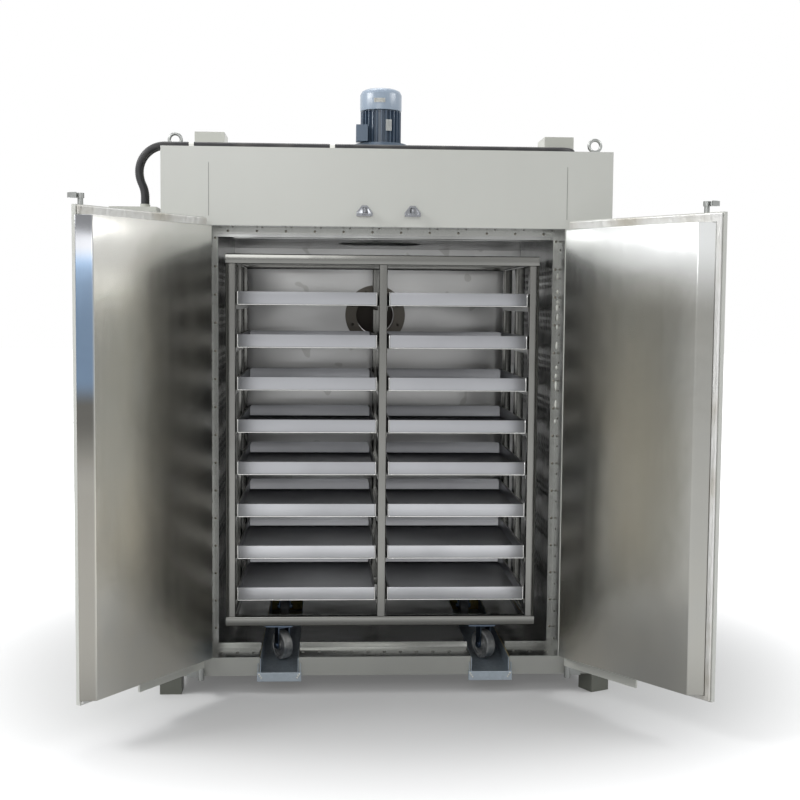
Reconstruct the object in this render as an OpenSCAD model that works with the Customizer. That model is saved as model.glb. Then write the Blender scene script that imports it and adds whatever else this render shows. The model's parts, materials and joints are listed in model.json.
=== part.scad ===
/* [Body] */
// Width of the oven body
body_w = 1446; // [1400:1:1560]
// Depth of the oven body
body_d = 1000; // [970:1:1100]
// Height of the roof above the floor
roof_z = 1767; // [1740:1:1900]
// Height of the feet
foot_h = 60; // [54:1:63]
// Thickness of the painted outer sheet
skin_t = 3; // [2:0.5:4]
// Thickness of the bottom pan
pan_t = 4; // [3:0.5:5]
// Side of a square foot
foot_w = 70; // [50:1:90]
// Wall of a foot tube
foot_wall = 4; // [3:0.5:6]
// Thickness of a foot end plate
foot_plate_t = 6; // [4:0.5:10]
// Radius of the anchor hole in a foot
foot_hole_r = 7; // [5:0.5:9]
// How far a foot stands out past the side panel
foot_out = 10; // [0:1:20]
// Turn of the right front foot about its own centre
foot_turn = 27; // [0:1:45]

/* [Opening] */
// Width of a front post
post_w = 152; // [120:1:180]
// Height of the header
header_h = 247; // [230:1:300]
// Height of the stainless sill
sill_z = 121; // [119:1:125]
// Depth of the recess in front of the chamber
rabbet_d = 120; // [110:1:130]
// Thickness of the stainless trim sheet
trim_t = 2; // [1.5:0.5:3]
// Width of the inner trim flange
flange_w = 19; // [14:1:22]

/* [Chamber] */
// Thickness of the back wall
back_wall = 120; // [80:1:150]
// Width of a side air duct
duct_w = 78; // [70:1:90]
// Thickness of the liner sheet
liner_t = 2; // [1.5:0.5:3]
// Drop of the ceiling under the top of the opening
ceiling_drop = 33; // [26:1:50]
// Height of the fan plenum over the ceiling
plenum_h = 133; // [120:1:150]
// Number of slot bands on a duct panel
band_n = 8; // [4:1:10]
// Number of slots in a band
slot_n = 12; // [6:1:14]
// Width of a slot
slot_w = 6; // [4:1:10]
// Height of a slot
slot_h = 62; // [40:1:70]
// Radius of the round air inlet in the ceiling
inlet_r = 147; // [120:1:150]
// Across position of the fan and exhaust
fan_x = -10; // [-40:1:40]
// Depth position of the fan
fan_y = -50; // [-100:1:50]
// Radius of the shaft passage
shaft_hole_r = 30; // [24:1:34]
// Drop of the exhaust centre under the ceiling
exhaust_drop = 257; // [200:1:400]
// Inner radius of the exhaust tube
exhaust_r = 73.5; // [60:0.5:80]
// Wall of the exhaust tube
exhaust_wall = 2; // [1.5:0.5:3]
// Radius of the exhaust ring flange
exhaust_flange_r = 116; // [105:1:125]
// Length of the exhaust spigot behind the body
exhaust_l = 60; // [40:1:100]

/* [Tracks] */
// Distance of a track from the middle
track_x = 346; // [300:1:380]
// Inner width of a track channel
track_w = 120; // [114:1:126]
// Sheet thickness of a track
track_t = 3; // [2:0.5:4]
// Rise of the track pads over the pan
track_rise = 5; // [3:1:8]
// Inner height of a track wall
track_wall_h = 46; // [42:1:47]
// Width of the drop lip at the front of a track
track_lip_w = 144; // [130:1:150]
// How far the lip stands in front of the body
track_lip_out = 8; // [5:1:12]
// Drop of the lip under the track bed
track_lip_drop = 30; // [20:1:40]

/* [Doors] */
// Opening angle of the left door as shown
left_open_angle = 123.1; // [90:0.1:130]
// Opening angle of the right door as shown
right_open_angle = 124.8; // [90:0.1:130]
// Distance from the opening edge to the hinge axis
hinge_out = 25; // [22:1:30]
// Distance of the hinge axis in front of the body
hinge_fwd = 34; // [33:1:38]
// Depth of the door shell
shell_d = 15; // [12:1:16]
// Sheet thickness of the door shell
shell_t = 2; // [1.5:0.5:3]
// Thickness of the door gasket
gasket_t = 8; // [6:0.5:9]
// Clearance between gasket and body
seal_gap = 0.6; // [0.4:0.1:1]
// Inset of the gasket from the shell edge
gasket_inset = 3; // [2:0.5:5]
// Depth of the door plug inside the recess
plug_d = 38; // [34:1:44]
// Sheet thickness of the plug
plug_t = 1.5; // [1:0.5:2]
// Overlap of the shell over the header
lip_over = 22; // [16:1:26]
// Height of the shell bottom over the sill
lip_rise = 9; // [5:1:14]
// Clearance over the plug
plug_top_gap = 5; // [4:1:10]
// Clearance under the plug
plug_foot_gap = 25; // [18:1:30]
// Clearance beside the plug at the hinge
plug_side_gap = 4; // [3:0.5:6]
// Gap between the two plugs
meet_gap = 17; // [15:1:24]
// Bevel of the plug at the meeting edge
bevel_w = 31.5; // [20:0.5:40]
// How far the left shell stops short of its plug
left_short = 12.5; // [10:0.5:16]
// How far the right shell laps past its plug
right_lap = 21.5; // [18:0.5:22]
// Radius of a hinge pin
pin_r = 8; // [6:0.5:8]
// Radius of a hinge knuckle
knuckle_r = 10; // [9.5:0.5:10]
// Height of a door knuckle
knuckle_h = 60; // [50:1:70]
// Height of a body knuckle
post_knuckle_h = 40; // [30:1:50]
// Length of the bottom hinge strap
strap_l = 307; // [200:1:340]
// Length of the other hinge leaves
leaf_l = 70; // [50:1:100]
// Thickness of a hinge strap
strap_t = 7; // [5:0.5:7]
// Drop of the bottom hinge under the shell
strap_drop = 33; // [25:1:36]
// Height of the middle hinge as a share of the door height
mid_hinge_share = 0.4745; // [0.4:0.001:0.6]
// Distance of the top hinge under the shell top
top_hinge_drop = 110; // [100:1:200]

/* [Latches] */
// Distance of a lock rod from the middle
latch_x = 77; // [70:1:110]
// Radius of a lock rod
rod_r = 8; // [6:0.5:9]
// Distance of a lock rod from the door face
rod_off = 20; // [18:1:22]
// Height of the lower rod end as a share of the door height
rod_foot_share = 0.3895; // [0.35:0.0005:0.45]
// Rise of the latch head over the shell top
latch_rise = 28; // [26:1:34]
// Radius of a keeper roller
roller_r = 7; // [6:0.5:7.5]
// Height of a keeper roller
roller_h = 14; // [10:1:16]
// Distance of a keeper roller from the header
roller_fwd = 20; // [19:0.5:21]
// Thickness of a keeper plate
keeper_t = 4; // [3:0.5:5]
// Width of a keeper plate
keeper_w = 52; // [46:1:60]
// Height of a keeper plate
keeper_h = 34; // [30:1:40]
// Outer radius of the latch claw
claw_r = 36; // [35:0.5:36.5]
// Thickness of the latch claw
claw_t = 5; // [3:0.5:5]
// Height of the handle pivot over the lower rod end
handle_rise = 250; // [245:1:300]
// Length of a handle
handle_l = 200; // [160:1:212]
// Width of a handle
handle_w = 24; // [20:1:30]
// Thickness of a handle
handle_t = 10; // [8:1:14]

/* [Trolley] */
// Clearance between the trolley and a duct panel
cart_side_gap = 33.25; // [20:0.25:60]
// Clearance behind the trolley
cart_back_gap = 80; // [40:1:100]
// Side position of the trolley
cart_x = -10; // [-15:1:15]
// Clearance between the trolley and the ceiling
cart_top_gap = 52.4; // [30:0.2:80]
// Side of the trolley tubes
tube_w = 32; // [28:1:36]
// Wall of the trolley tubes
tube_wall = 2; // [1.5:0.5:3]
// Width of the middle post
mid_w = 27; // [20:1:32]
// Width of a tray runner
runner_w = 25; // [22:1:28]
// Height of the upright leg of a tray runner
runner_leg = 15; // [10:1:25]
// Thickness of a tray runner
runner_t = 2; // [1.5:0.5:3]
// Number of tray levels
level_n = 8; // [8:1:8]
// Drop of the top tray rim under the trolley top
top_rim_drop = 122.1; // [100:0.1:140]
// Height of the bottom tray rim over the trolley underside
low_rim_rise = 132.2; // [110:0.1:150]
// Wheel radius
wheel_r = 48; // [44:0.5:50]
// Wheel width
wheel_w = 32; // [26:1:34]
// Height from track bed to trolley tubes
caster_h = 122; // [118:1:130]
// How far the swivel axes lie inside the track middles
caster_shift = 4; // [0:0.5:8]
// Distance of the front casters behind the trolley front
caster_in = 60; // [56:1:80]
// Distance of the rear wheels from the trolley back
rear_in = 70; // [60:1:90]
// Caster trail
trail = 20; // [14:1:26]
// Swivel angle of the front casters as shown
swivel = 30; // [0:1:38]
// Axle radius
axle_r = 6; // [4:0.5:7]
// Caster stem radius
stem_r = 8; // [6:0.5:10]
// Thickness of the fork metal
fork_t = 4; // [3:0.5:5]

/* [Trays] */
// Clearance beside a tray rim
tray_side_gap = 6.6; // [4:0.1:9]
// Length of the trolley behind the trays
tray_back_gap = 40; // [30:1:60]
// Tray height
tray_h = 45; // [35:1:55]
// Tray sheet thickness
tray_t = 1.2; // [0.8:0.1:2]
// Tray rim width
rim_w = 10; // [8:0.5:11]

/* [Roof] */
// Motor radius over the fins
motor_r = 71; // [66:1:76]
// Height of the motor top over the roof
motor_rise = 255; // [240:1:270]
// Height of the motor cowl
cowl_h = 74; // [60:1:80]
// Height of the motor stool
stool_h = 66; // [50:1:70]
// Height of the motor body
motor_h = 112; // [100:1:115]
// Motor shaft radius
shaft_r = 9.5; // [8:0.5:12]
// Fan wheel radius
wheel_fan_r = 150; // [140:1:160]
// Fan wheel height
fan_h = 70; // [60:1:80]
// Number of fan blades
blade_n = 12; // [8:1:16]
// Heater cover width
cover_w = 100; // [90:1:110]
// Heater cover depth
cover_d = 150; // [140:1:160]
// Heater cover height
cover_h = 80; // [60:1:90]
// Distance of the heater covers behind the body front
cover_back = 270; // [250:1:280]
// Heater tube radius
heater_r = 4.5; // [4:0.5:6]
// Length of the heaters under the roof
heater_l = 900; // [600:1:1100]
// Height of a lifting eye
eye_h = 63; // [58:1:70]
// Radius of the eye hole
eye_r = 14; // [10:1:15]
// Thickness of a lifting eye
eye_t = 12; // [8:1:14]

/* [Control box] */
// Box width out from the body
box_w = 152; // [140:1:160]
// Box depth along the body
box_d = 300; // [280:1:320]
// Box height
box_h = 500; // [450:1:520]
// Drop of the box top under the roof
box_drop = 187; // [180:1:220]
// Stand-off of the box
box_gap = 22; // [15:1:30]
// Distance of the box behind the body front
box_in = 70; // [60:1:100]
// Sheet thickness of the box
box_t = 2; // [1.5:0.5:3]
// Depth of the box door
lid_d = 16; // [12:1:20]
// Radius of the switch knob
knob_r = 22; // [18:1:26]
// Length of the switch knob
knob_l = 24; // [18:1:30]
// Radius of the supply cable hole
gland_r = 10; // [8:0.5:12]

/* [Hoses] */
// Outer radius of a hose rib
hose_r = 12.5; // [11:0.5:13]
// Depth of a hose groove
groove_d = 1.5; // [1:0.25:2]
// Wall under the groove
hose_wall = 1.5; // [1:0.25:2]
// Number of ribs on a hose
rib_n = 100; // [60:1:100]
// Distance of the front hose behind the body front
hose_in = 100; // [90:1:110]
// Distance between the hoses
hose_pitch = 30; // [28:0.5:34]
// Radius of the bend on the roof
bend_r = 60; // [50:1:70]
// Radius of the bend over the roof edge
drop_r = 85; // [70:1:90]

/* [Hidden] */
$fn = 48;
over = 1;
rest_gap = 0.3;
run_gap = 0.05;
turn_gap = 0.5;
seam = 0.2;
touch_gap = 0.4;

hw = body_w / 2;
hd = body_d / 2;
yf = -hd;
ow = hw - post_w;
yr = yf + rabbet_d;
yb = hd - back_wall;
chamber_d = yb - yr;
head_z = roof_z - header_h;
ceiling_z = head_z - ceiling_drop;
exhaust_z = ceiling_z - exhaust_drop;
fw = ow - flange_w;
lw = fw + liner_t + duct_w;
liner_top = ceiling_z + liner_t + plenum_h;
floor_z = sill_z;
foot_x = hw + foot_out - foot_w / 2;
foot_y = hd - foot_w / 2;
pan_top = foot_h + pan_t;
bed_low = pan_top + track_rise;
bed_z = bed_low + track_t;
track_top = bed_z + track_wall_h;
track_hw = track_w / 2 + track_t;
notch_gap = 1;
notch_hw = track_hw + notch_gap;
track_back_gap = 10;
track_y1 = yb - track_back_gap;
flange_h = 18;
flange_top_h = 21;

hx = ow + hinge_out;
hy = yf - hinge_fwd;
face_y = yf - gasket_t - shell_d;
back_y = yf - gasket_t;
lip_z0 = sill_z + lip_rise;
lip_z1 = head_z + lip_over;
plug_z0 = sill_z + plug_foot_gap;
plug_z1 = head_z - trim_t - plug_top_gap;
lip_gap = 2;
plug_x1 = ow - trim_t - plug_side_gap;
plug_x0 = meet_gap / 2;
plug_y = yf + plug_d;
left_x0 = plug_x0 + left_short;
right_x0 = plug_x0 - right_lap;
window_inset = 10;
door_h = lip_z1 - lip_z0;
mid_hinge_z = lip_z0 + mid_hinge_share * door_h;
hinge_zs = [lip_z0 - strap_drop, mid_hinge_z, lip_z1 - top_hinge_drop];
knuckle_bore_r = pin_r + run_gap;
pin_end_gap = 8;
leaf_t = 6;
leaf_w = 48;
web_w = 8;
rod_y = face_y - rod_off;
latch_z = lip_z1 + latch_rise;
guide_w = 28;
guide_h = 20;
guide_wall = 4;
rod_foot_z = lip_z0 + rod_foot_share * door_h;
handle_z = rod_foot_z + handle_rise;
mid_guide_share = 0.72;
guide_zs = [rod_foot_z + guide_h / 2, lip_z0 + mid_guide_share * door_h, lip_z1 - 2 * guide_h];
collar_r = 12;
collar_h = 8;
head_r = 11;
claw_arm_w = 6;
claw_a = 25;
claw_b = 40;
claw_reach_share = 2;
hub_r = 13;
hub_h = 30;
pivot_r = 4;
pivot_l = 16;
grip_r = 12;
cap_t = 3;
roller_y = yf - roller_fwd;
roller_pin_r = 3;
roller_gap = 1.5;
ear_t = 3;
ear_w = 18;
screw_r = 3.5;
screw_h = 2;

cart_y0 = yr;
cart_y1 = yb - cart_back_gap;
cart_d = cart_y1 - cart_y0;
cart_hw = fw - cart_side_gap;
cart_top = ceiling_z - cart_top_gap;
caster_x = track_x - caster_shift;
rail_z = bed_z + caster_h;
top_rim_z = cart_top - top_rim_drop;
low_rim_z = rail_z + low_rim_rise;
level_pitch = (top_rim_z - low_rim_z) / (level_n - 1);
axle_z = bed_z + touch_gap + wheel_r;
post_x = cart_hw - tube_w;
bay_w = post_x - mid_w / 2;
bay_x = mid_w / 2 + bay_w / 2;
tray_w = bay_w - 2 * tray_side_gap;
tray_d = cart_d - tray_back_gap;
side_post_y = (cart_y0 + cart_y1) / 2;
caster_plate_t = 4;
caster_plate_w = 90;
race_r = 24;
race_h = 6;
fork_gap = 2;
fork_w = 34;
fork_top = rail_z - caster_plate_t - race_h - turn_gap;
nut_r = 9;
nut_h = 6;
stem_l = 14;
hub_wall = 9;
tread_t = 10;

motor_core = 11;
stool_top = roof_z + stool_h;
motor_z1 = stool_top + motor_h;
motor_top = roof_z + motor_rise;
cowl_z0 = motor_top - cowl_h;
fin_n = 28;
fin_t = 3;
stool_r = 90;
stool_wall = 5;
stool_plate_t = 8;
cowl_t = 2;
cowl_over = 2;
tbox_w = 40;
tbox_d = 30;
tbox_h = 56;
tbox_x = -88;
elbow_r = 10;
fan_gap = 20;
disc_t = 3;
blade_t = 3;
blade_w = 42;
hub_fan_r = 24;
shaft_in = 70;
shaft_low = 8;

cover_x = lw - duct_w / 2;
cover_y0 = yf + cover_back;
shaft_cut_w = 70;
shaft_cut_d = 130;
heater_n = 3;
heater_leg = 24;
heater_step = 40;
heater_flange_t = 5;
heater_stub = 30;
heater_x = cover_x;
heater_y = cover_y0 + cover_d / 2;

eye_side = 28;
eye_back = 165;
eye_x = hw - eye_side;
eye_y = hd - eye_back;
eye_ring = 11;
eye_base_r = 17;
eye_base_h = 8;
eye_neck_w = 16;

box_top = roof_z - box_drop;
box_x0 = -hw - box_gap;
box_x1 = box_x0 - box_w + lid_d;
lid_x1 = box_x1 - turn_gap;
lid_x2 = lid_x1 - lid_d;
box_y0 = yf + box_in;
box_y1 = box_y0 + box_d;
box_z0 = box_top - box_h;
spacer_r = 12;
spacer_in = 30;
box_pin_r = 3;
box_knuckle_r = 6;
box_knuckle_h = 30;
box_hinge_x = lid_x1;
box_hinge_gap = 1;
box_hinge_y = box_y1 + box_knuckle_r + box_hinge_gap;
box_hinge_zs = [box_z0 + box_h / 6, box_top - box_h / 4];
knob_y = (box_y0 + box_y1) / 2;
knob_drop = 80;
knob_z = box_top - knob_drop;
spindle_r = 5;
spindle_in = 10;
gland_h = 18;
gland_wall = 5;
hose_gland_h = 10;
hose_gland_wall = 1.6;

hose_z = roof_z + hose_r + rest_gap;
hose_shift = 18;
hose_bend_a = 25;
hose_end_in = 42;
hose_end_x = box_x0 - hose_end_in;
hose_side_share = 1.4;
hose_top = box_top + hose_gland_h;
hose_bore_r = hose_r - groove_d - hose_wall;
clip_in = 88;
clip_step = 455;
clip_xs = [-hw + clip_in, -hw + clip_in + clip_step];
clip_t = 3;
clip_w = 16;
clip_foot = 14;

// A block between two corners
module block(x0, x1, y0, y1, z0, z1) {
    translate([x0, y0, z0]) cube([x1 - x0, y1 - y0, z1 - z0]);
}

// A round bar standing on z0
module bar_z(x, y, z0, z1, r) {
    translate([x, y, z0]) cylinder(r = r, h = z1 - z0);
}

// A round bar along X
module bar_x(x0, x1, y, z, r) {
    translate([x0, y, z]) rotate([0, 90, 0]) cylinder(r = r, h = x1 - x0);
}

// A round bar along Y
module bar_y(x, y0, y1, z, r) {
    translate([x, y0, z]) rotate([-90, 0, 0]) cylinder(r = r, h = y1 - y0);
}

// The same piece on both sides
module both() {
    children();
    mirror([1, 0, 0]) children();
}

// The same piece on one side, s = 1 right and s = -1 left
module side(s) {
    if (s > 0) children();
    else mirror([1, 0, 0]) children();
}

// A door turned from closed to its shown angle
module swung(s) {
    a = s > 0 ? right_open_angle : left_open_angle;
    side(s) translate([hx, hy, 0]) rotate([0, 0, a]) translate([-hx, -hy, 0]) children();
}

// Welded base with its pan, track pads and four feet
module base_frame() {
    color("#4b4c46") {
        block(-hw + skin_t, hw - skin_t, yf + skin_t, hd - skin_t, foot_h, pan_top);
        both() block(track_x - track_hw, track_x + track_hw, yf + skin_t, track_y1, pan_top, bed_low);
        for (sx = [-1, 1], sy = [-1, 1]) {
            translate([sx * foot_x, sy * foot_y, 0])
                rotate([0, 0, sx > 0 && sy < 0 ? foot_turn : 0])
                    foot();
        }
    }
}

// One square foot with an end plate and its anchor hole
module foot() {
    a = foot_w / 2;
    b = a - foot_wall;
    difference() {
        block(-a, a, -a, a, 0, foot_h);
        block(-b, b, -b, b, foot_plate_t, foot_h + over);
        bar_z(0, 0, -over, foot_plate_t + over, foot_hole_r);
    }
}

// Side panels and back panel
module outer_panels() {
    z1 = roof_z - skin_t - seam;
    a = hw - skin_t;
    color("#b9bab4") {
        both() block(a, hw, yf + skin_t, hd, foot_h, z1);
        difference() {
            block(-a + seam, a - seam, hd - skin_t, hd, foot_h, z1);
            bar_y(fan_x, hd - skin_t - over, hd + over, exhaust_z, exhaust_r + exhaust_wall + turn_gap);
        }
        difference() {
            block(-hw, hw, yf + skin_t, hd, roof_z - skin_t, roof_z);
            bar_z(fan_x, fan_y, roof_z - skin_t - over, roof_z + over, shaft_hole_r);
            both() heater_cut(roof_z - skin_t - over, roof_z + over);
        }
    }
}

// Opening under a heater cover
module heater_cut(z0, z1) {
    a = shaft_cut_w / 2;
    b = shaft_cut_d / 2;
    block(heater_x - a, heater_x + a, heater_y - b, heater_y + b, z0, z1);
}

// Posts, header and sill of the painted front
module front_panels() {
    color("#c0c1ba") {
        both() {
            block(ow, hw, yf, yf + skin_t, foot_h, roof_z);
            block(ow, ow + skin_t, yf + skin_t, yr, pan_top, roof_z - skin_t);
        }
        block(-ow, ow, yf, yf + skin_t, head_z, roof_z);
        block(-ow, ow, yf + skin_t, yr, head_z, head_z + skin_t);
        difference() {
            block(-ow, ow, yf, yf + skin_t, foot_h, sill_z - trim_t);
            both() block(track_x - notch_hw, track_x + notch_hw, yf - over, yf + skin_t + over,
                bed_low, sill_z);
        }
    }
}

// Body halves of the six lift-off hinges
module cabinet_hinges() {
    color("#5a5c5c") both() for (z = hinge_zs) {
        bar_z(hx, hy, z - turn_gap - post_knuckle_h, z - turn_gap, knuckle_r);
        bar_z(hx, hy, z - 2 * turn_gap, z + knuckle_h - pin_end_gap, pin_r);
        block(hx + lip_gap, hx + lip_gap + web_w, hy, yf, z - turn_gap - post_knuckle_h, z - turn_gap);
        block(hx + lip_gap, hx + lip_gap + leaf_w, yf - leaf_t, yf,
            z - turn_gap - post_knuckle_h, z - turn_gap);
    }
}

// Mineral wool between the liner and the outer sheets
module insulation() {
    a = hw - skin_t;
    color("#d8c98e") difference() {
        block(-a, a, yf + skin_t, hd - skin_t, pan_top, roof_z - skin_t);
        block(-lw - liner_t, lw + liner_t, yr, yb + liner_t, floor_z - liner_t, liner_top + liner_t);
        block(-ow - skin_t, ow + skin_t, yf, yr + over, floor_z - trim_t, head_z + skin_t);
        block(-ow - skin_t, -ow, yf, yr, 0, roof_z);
        block(ow, ow + skin_t, yf, yr, 0, roof_z);
        both() block(track_x - notch_hw, track_x + notch_hw, yf, track_y1 + notch_gap, 0, floor_z);
        both() heater_cut(liner_top, roof_z);
        bar_z(fan_x, fan_y, liner_top, roof_z, shaft_hole_r);
        bar_y(fan_x, yb, hd, exhaust_z, exhaust_r + exhaust_wall + turn_gap);
    }
}

// Stainless inner box with its floor
module inner_liner() {
    a = lw - seam;
    t0 = track_x - notch_hw;
    t1 = track_x + notch_hw;
    y1 = track_y1 + notch_gap;
    low = floor_z - liner_t;
    color("#9aa0a3") {
        both() {
            block(lw, lw + liner_t, yr, yb + liner_t, low, liner_top + liner_t);
            block(fw, a, yr, yr + liner_t, floor_z + seam, liner_top - seam);
            block(t1, a, yr, y1 - seam, low, floor_z);
        }
        block(-t0, t0, yr, y1 - seam, low, floor_z);
        block(-a, a, y1, yb - seam, low, floor_z);
        block(-fw + seam, fw - seam, yr, yr + liner_t, head_z - flange_top_h, liner_top - seam);
        difference() {
            block(-a, a, yr, yb - seam, liner_top, liner_top + liner_t);
            both() heater_cut(liner_top - over, liner_top + liner_t + over);
            bar_z(fan_x, fan_y, liner_top - over, liner_top + liner_t + over, shaft_hole_r);
        }
        difference() {
            block(-a, a, yb, yb + liner_t, low, liner_top + liner_t);
            bar_y(fan_x, yb - over, yb + liner_t + over, exhaust_z, exhaust_r + exhaust_wall + turn_gap);
        }
    }
}

// Slotted duct panels and the chamber ceiling with its round inlet
module air_panels() {
    h = ceiling_z - floor_z;
    d = chamber_d - liner_t;
    color("#a9aeb0") {
        both() translate([fw, yr + liner_t, floor_z]) rotate([90, 0, 90])
            linear_extrude(liner_t) difference() {
                square([d, h]);
                for (i = [0:band_n - 1], j = [0:slot_n - 1])
                    translate([(j + 0.5) * d / slot_n - slot_w / 2,
                        top_rim_z - i * level_pitch - floor_z + slot_h / 4])
                        square([slot_w, slot_h]);
            }
        difference() {
            block(-fw, fw, yr + liner_t, yb, ceiling_z, ceiling_z + liner_t);
            bar_z(fan_x, fan_y, ceiling_z - over, ceiling_z + liner_t + over, inlet_r);
        }
        block(-fw, fw, yr + liner_t, yr + 2 * liner_t, ceiling_z + liner_t, head_z - flange_top_h + over);
    }
}

// Two recessed wheel tracks with drop lips
module track_channels() {
    a = track_lip_w / 2;
    color("#8f9aa1") both() translate([track_x, 0, 0]) {
        difference() {
            block(-track_hw, track_hw, yf, track_y1, bed_low, track_top);
            block(-track_w / 2, track_w / 2, yf - over, track_y1 + over, bed_z, track_top + over);
        }
        block(-a, a, yf - track_lip_out, yf, bed_z - track_lip_drop, bed_z);
    }
}

// Stainless recess lining with its inner flange and rivets
module opening_trim() {
    color("#c3c7c8") {
        difference() {
            block(-ow, ow, yf, yr, sill_z - trim_t, head_z);
            block(-ow + trim_t, ow - trim_t, yf - over, yr - trim_t, sill_z, head_z - trim_t);
            block(-fw, fw, yf, yr + over, sill_z + flange_h, head_z - flange_top_h);
            both() block(track_x - notch_hw, track_x + notch_hw, yf - over, yr + over,
                sill_z - trim_t - over, sill_z + flange_h + over);
        }
    }
}

// Exhaust tube through the back with its ring flange
module exhaust_port() {
    color("#8b9092") difference() {
        union() {
            bar_y(fan_x, yb - liner_t, hd + exhaust_wall, exhaust_z, exhaust_r + exhaust_wall - turn_gap);
            bar_y(fan_x, hd + exhaust_wall, hd + exhaust_l, exhaust_z, exhaust_r + exhaust_wall);
            for (y = [yb - liner_t, hd])
                bar_y(fan_x, y, y + exhaust_wall, exhaust_z, exhaust_flange_r);
        }
        bar_y(fan_x, yb - liner_t - over, hd + exhaust_l + over, exhaust_z, exhaust_r);
        for (i = [0:7]) rotate_about_port(i * 45 + 22.5)
            bar_y(fan_x + (exhaust_r + exhaust_flange_r) / 2, yb - liner_t - over, yb + over,
                exhaust_z, screw_r);
    }
}

// A turn about the exhaust axis
module rotate_about_port(a) {
    translate([fan_x, 0, exhaust_z]) rotate([0, a, 0]) translate([-fan_x, 0, -exhaust_z]) children();
}

// Hairpin heaters hanging from their roof flanges into the ducts
module heating_elements() {
    a = shaft_cut_w / 2 + 2 * heater_r;
    b = shaft_cut_d / 2 + heater_r;
    color("#6b6a66") both() union() {
        block(heater_x - a, heater_x + a, heater_y - b, heater_y + b, roof_z, roof_z + heater_flange_t);
        for (i = [0:heater_n - 1])
            translate([heater_x, heater_y + (i - (heater_n - 1) / 2) * heater_step, 0])
                hairpin();
    }
}

// One heater hairpin
module hairpin() {
    z0 = roof_z - heater_l;
    for (s = [-1, 1]) bar_z(0, s * heater_leg / 2, z0, roof_z + heater_flange_t + heater_stub, heater_r);
    translate([0, 0, z0]) rotate([0, 90, 0]) rotate([0, 0, -90])
        rotate_extrude(angle = 180) translate([heater_leg / 2, 0]) circle(r = heater_r);
}

// Sheet covers over the heater terminals
module heater_covers() {
    color("#b4b6b1") both()
        difference() {
            block(cover_x - cover_w / 2, cover_x + cover_w / 2, cover_y0, cover_y0 + cover_d,
                roof_z, roof_z + cover_h);
            block(cover_x - cover_w / 2 + box_t, cover_x + cover_w / 2 - box_t, cover_y0 + box_t,
                cover_y0 + cover_d - box_t, roof_z - over, roof_z + cover_h - box_t);
        }
}

// Finned fan motor on its stool with the terminal box
module fan_motor() {
    core = motor_r - motor_core;
    color("#4d5a66") translate([fan_x, fan_y, 0]) {
        difference() {
            union() {
                translate([0, 0, stool_top]) linear_extrude(motor_h) {
                    circle(r = core);
                    for (i = [0:fin_n - 1]) rotate(i * 360 / fin_n)
                        translate([0, -fin_t / 2]) square([motor_r, fin_t]);
                }
                bar_z(0, 0, stool_top, cowl_z0 + cowl_over, core);
                block(tbox_x, tbox_x + tbox_w, -motor_r - tbox_d / 2, -core / 2,
                    stool_top + fin_t, stool_top + fin_t + tbox_h);
            }
            bar_z(0, 0, stool_top - over, stool_top + shaft_in, shaft_r + run_gap);
        }
        difference() {
            bar_z(0, 0, roof_z, stool_top, stool_r);
            bar_z(0, 0, roof_z - over, stool_top - stool_plate_t, stool_r - stool_wall);
            bar_z(0, 0, roof_z, stool_top + over, shaft_r + 2 * roller_gap);
        }
    }
}

// Motor fan cowl with a rounded top
module motor_cowl() {
    e = cowl_h / 4;
    ro = motor_r + cowl_t;
    color("#a9b7c4") translate([fan_x, fan_y, cowl_z0]) rotate_extrude() polygon([
        [motor_r - motor_core + run_gap, 0], [ro, 0], [ro, cowl_h - e], [ro - e / 3, cowl_h - e / 3],
        [ro - e, cowl_h], [0, cowl_h], [0, cowl_h - cowl_t], [ro - e, cowl_h - cowl_t],
        [motor_r, cowl_h - e], [motor_r, cowl_t], [motor_r - motor_core + run_gap, cowl_t]]);
}

// Radial fan wheel on the motor shaft
module fan_rotor() {
    z1 = liner_top - fan_gap;
    z0 = z1 - fan_h;
    color("#8d9294") translate([fan_x, fan_y, 0]) {
        bar_z(0, 0, z0 + shaft_low, stool_top + shaft_in - shaft_low, shaft_r);
        bar_z(0, 0, z1 - disc_t, z1, wheel_fan_r);
        bar_z(0, 0, z0 + 2 * shaft_low, z1 - disc_t / 2, hub_fan_r);
        for (i = [0:blade_n - 1]) rotate([0, 0, i * 360 / blade_n])
            block(wheel_fan_r - blade_w - disc_t, wheel_fan_r - disc_t, -blade_t / 2, blade_t / 2,
                z0, z1 - disc_t / 2);
    }
}

// A piece of route: start, heading, side turned to, radius, length
function seg_p(g, s) = g[3] == 0 ? g[0] + s * g[1]
    : g[0] + g[3] * (sin(s / g[3] * 180 / PI) * g[1] + (1 - cos(s / g[3] * 180 / PI)) * g[2]);
function seg_d(g, s) = g[3] == 0 ? g[1]
    : cos(s / g[3] * 180 / PI) * g[1] + sin(s / g[3] * 180 / PI) * g[2];
function arc_l(r, a) = r * a * PI / 180;

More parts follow.
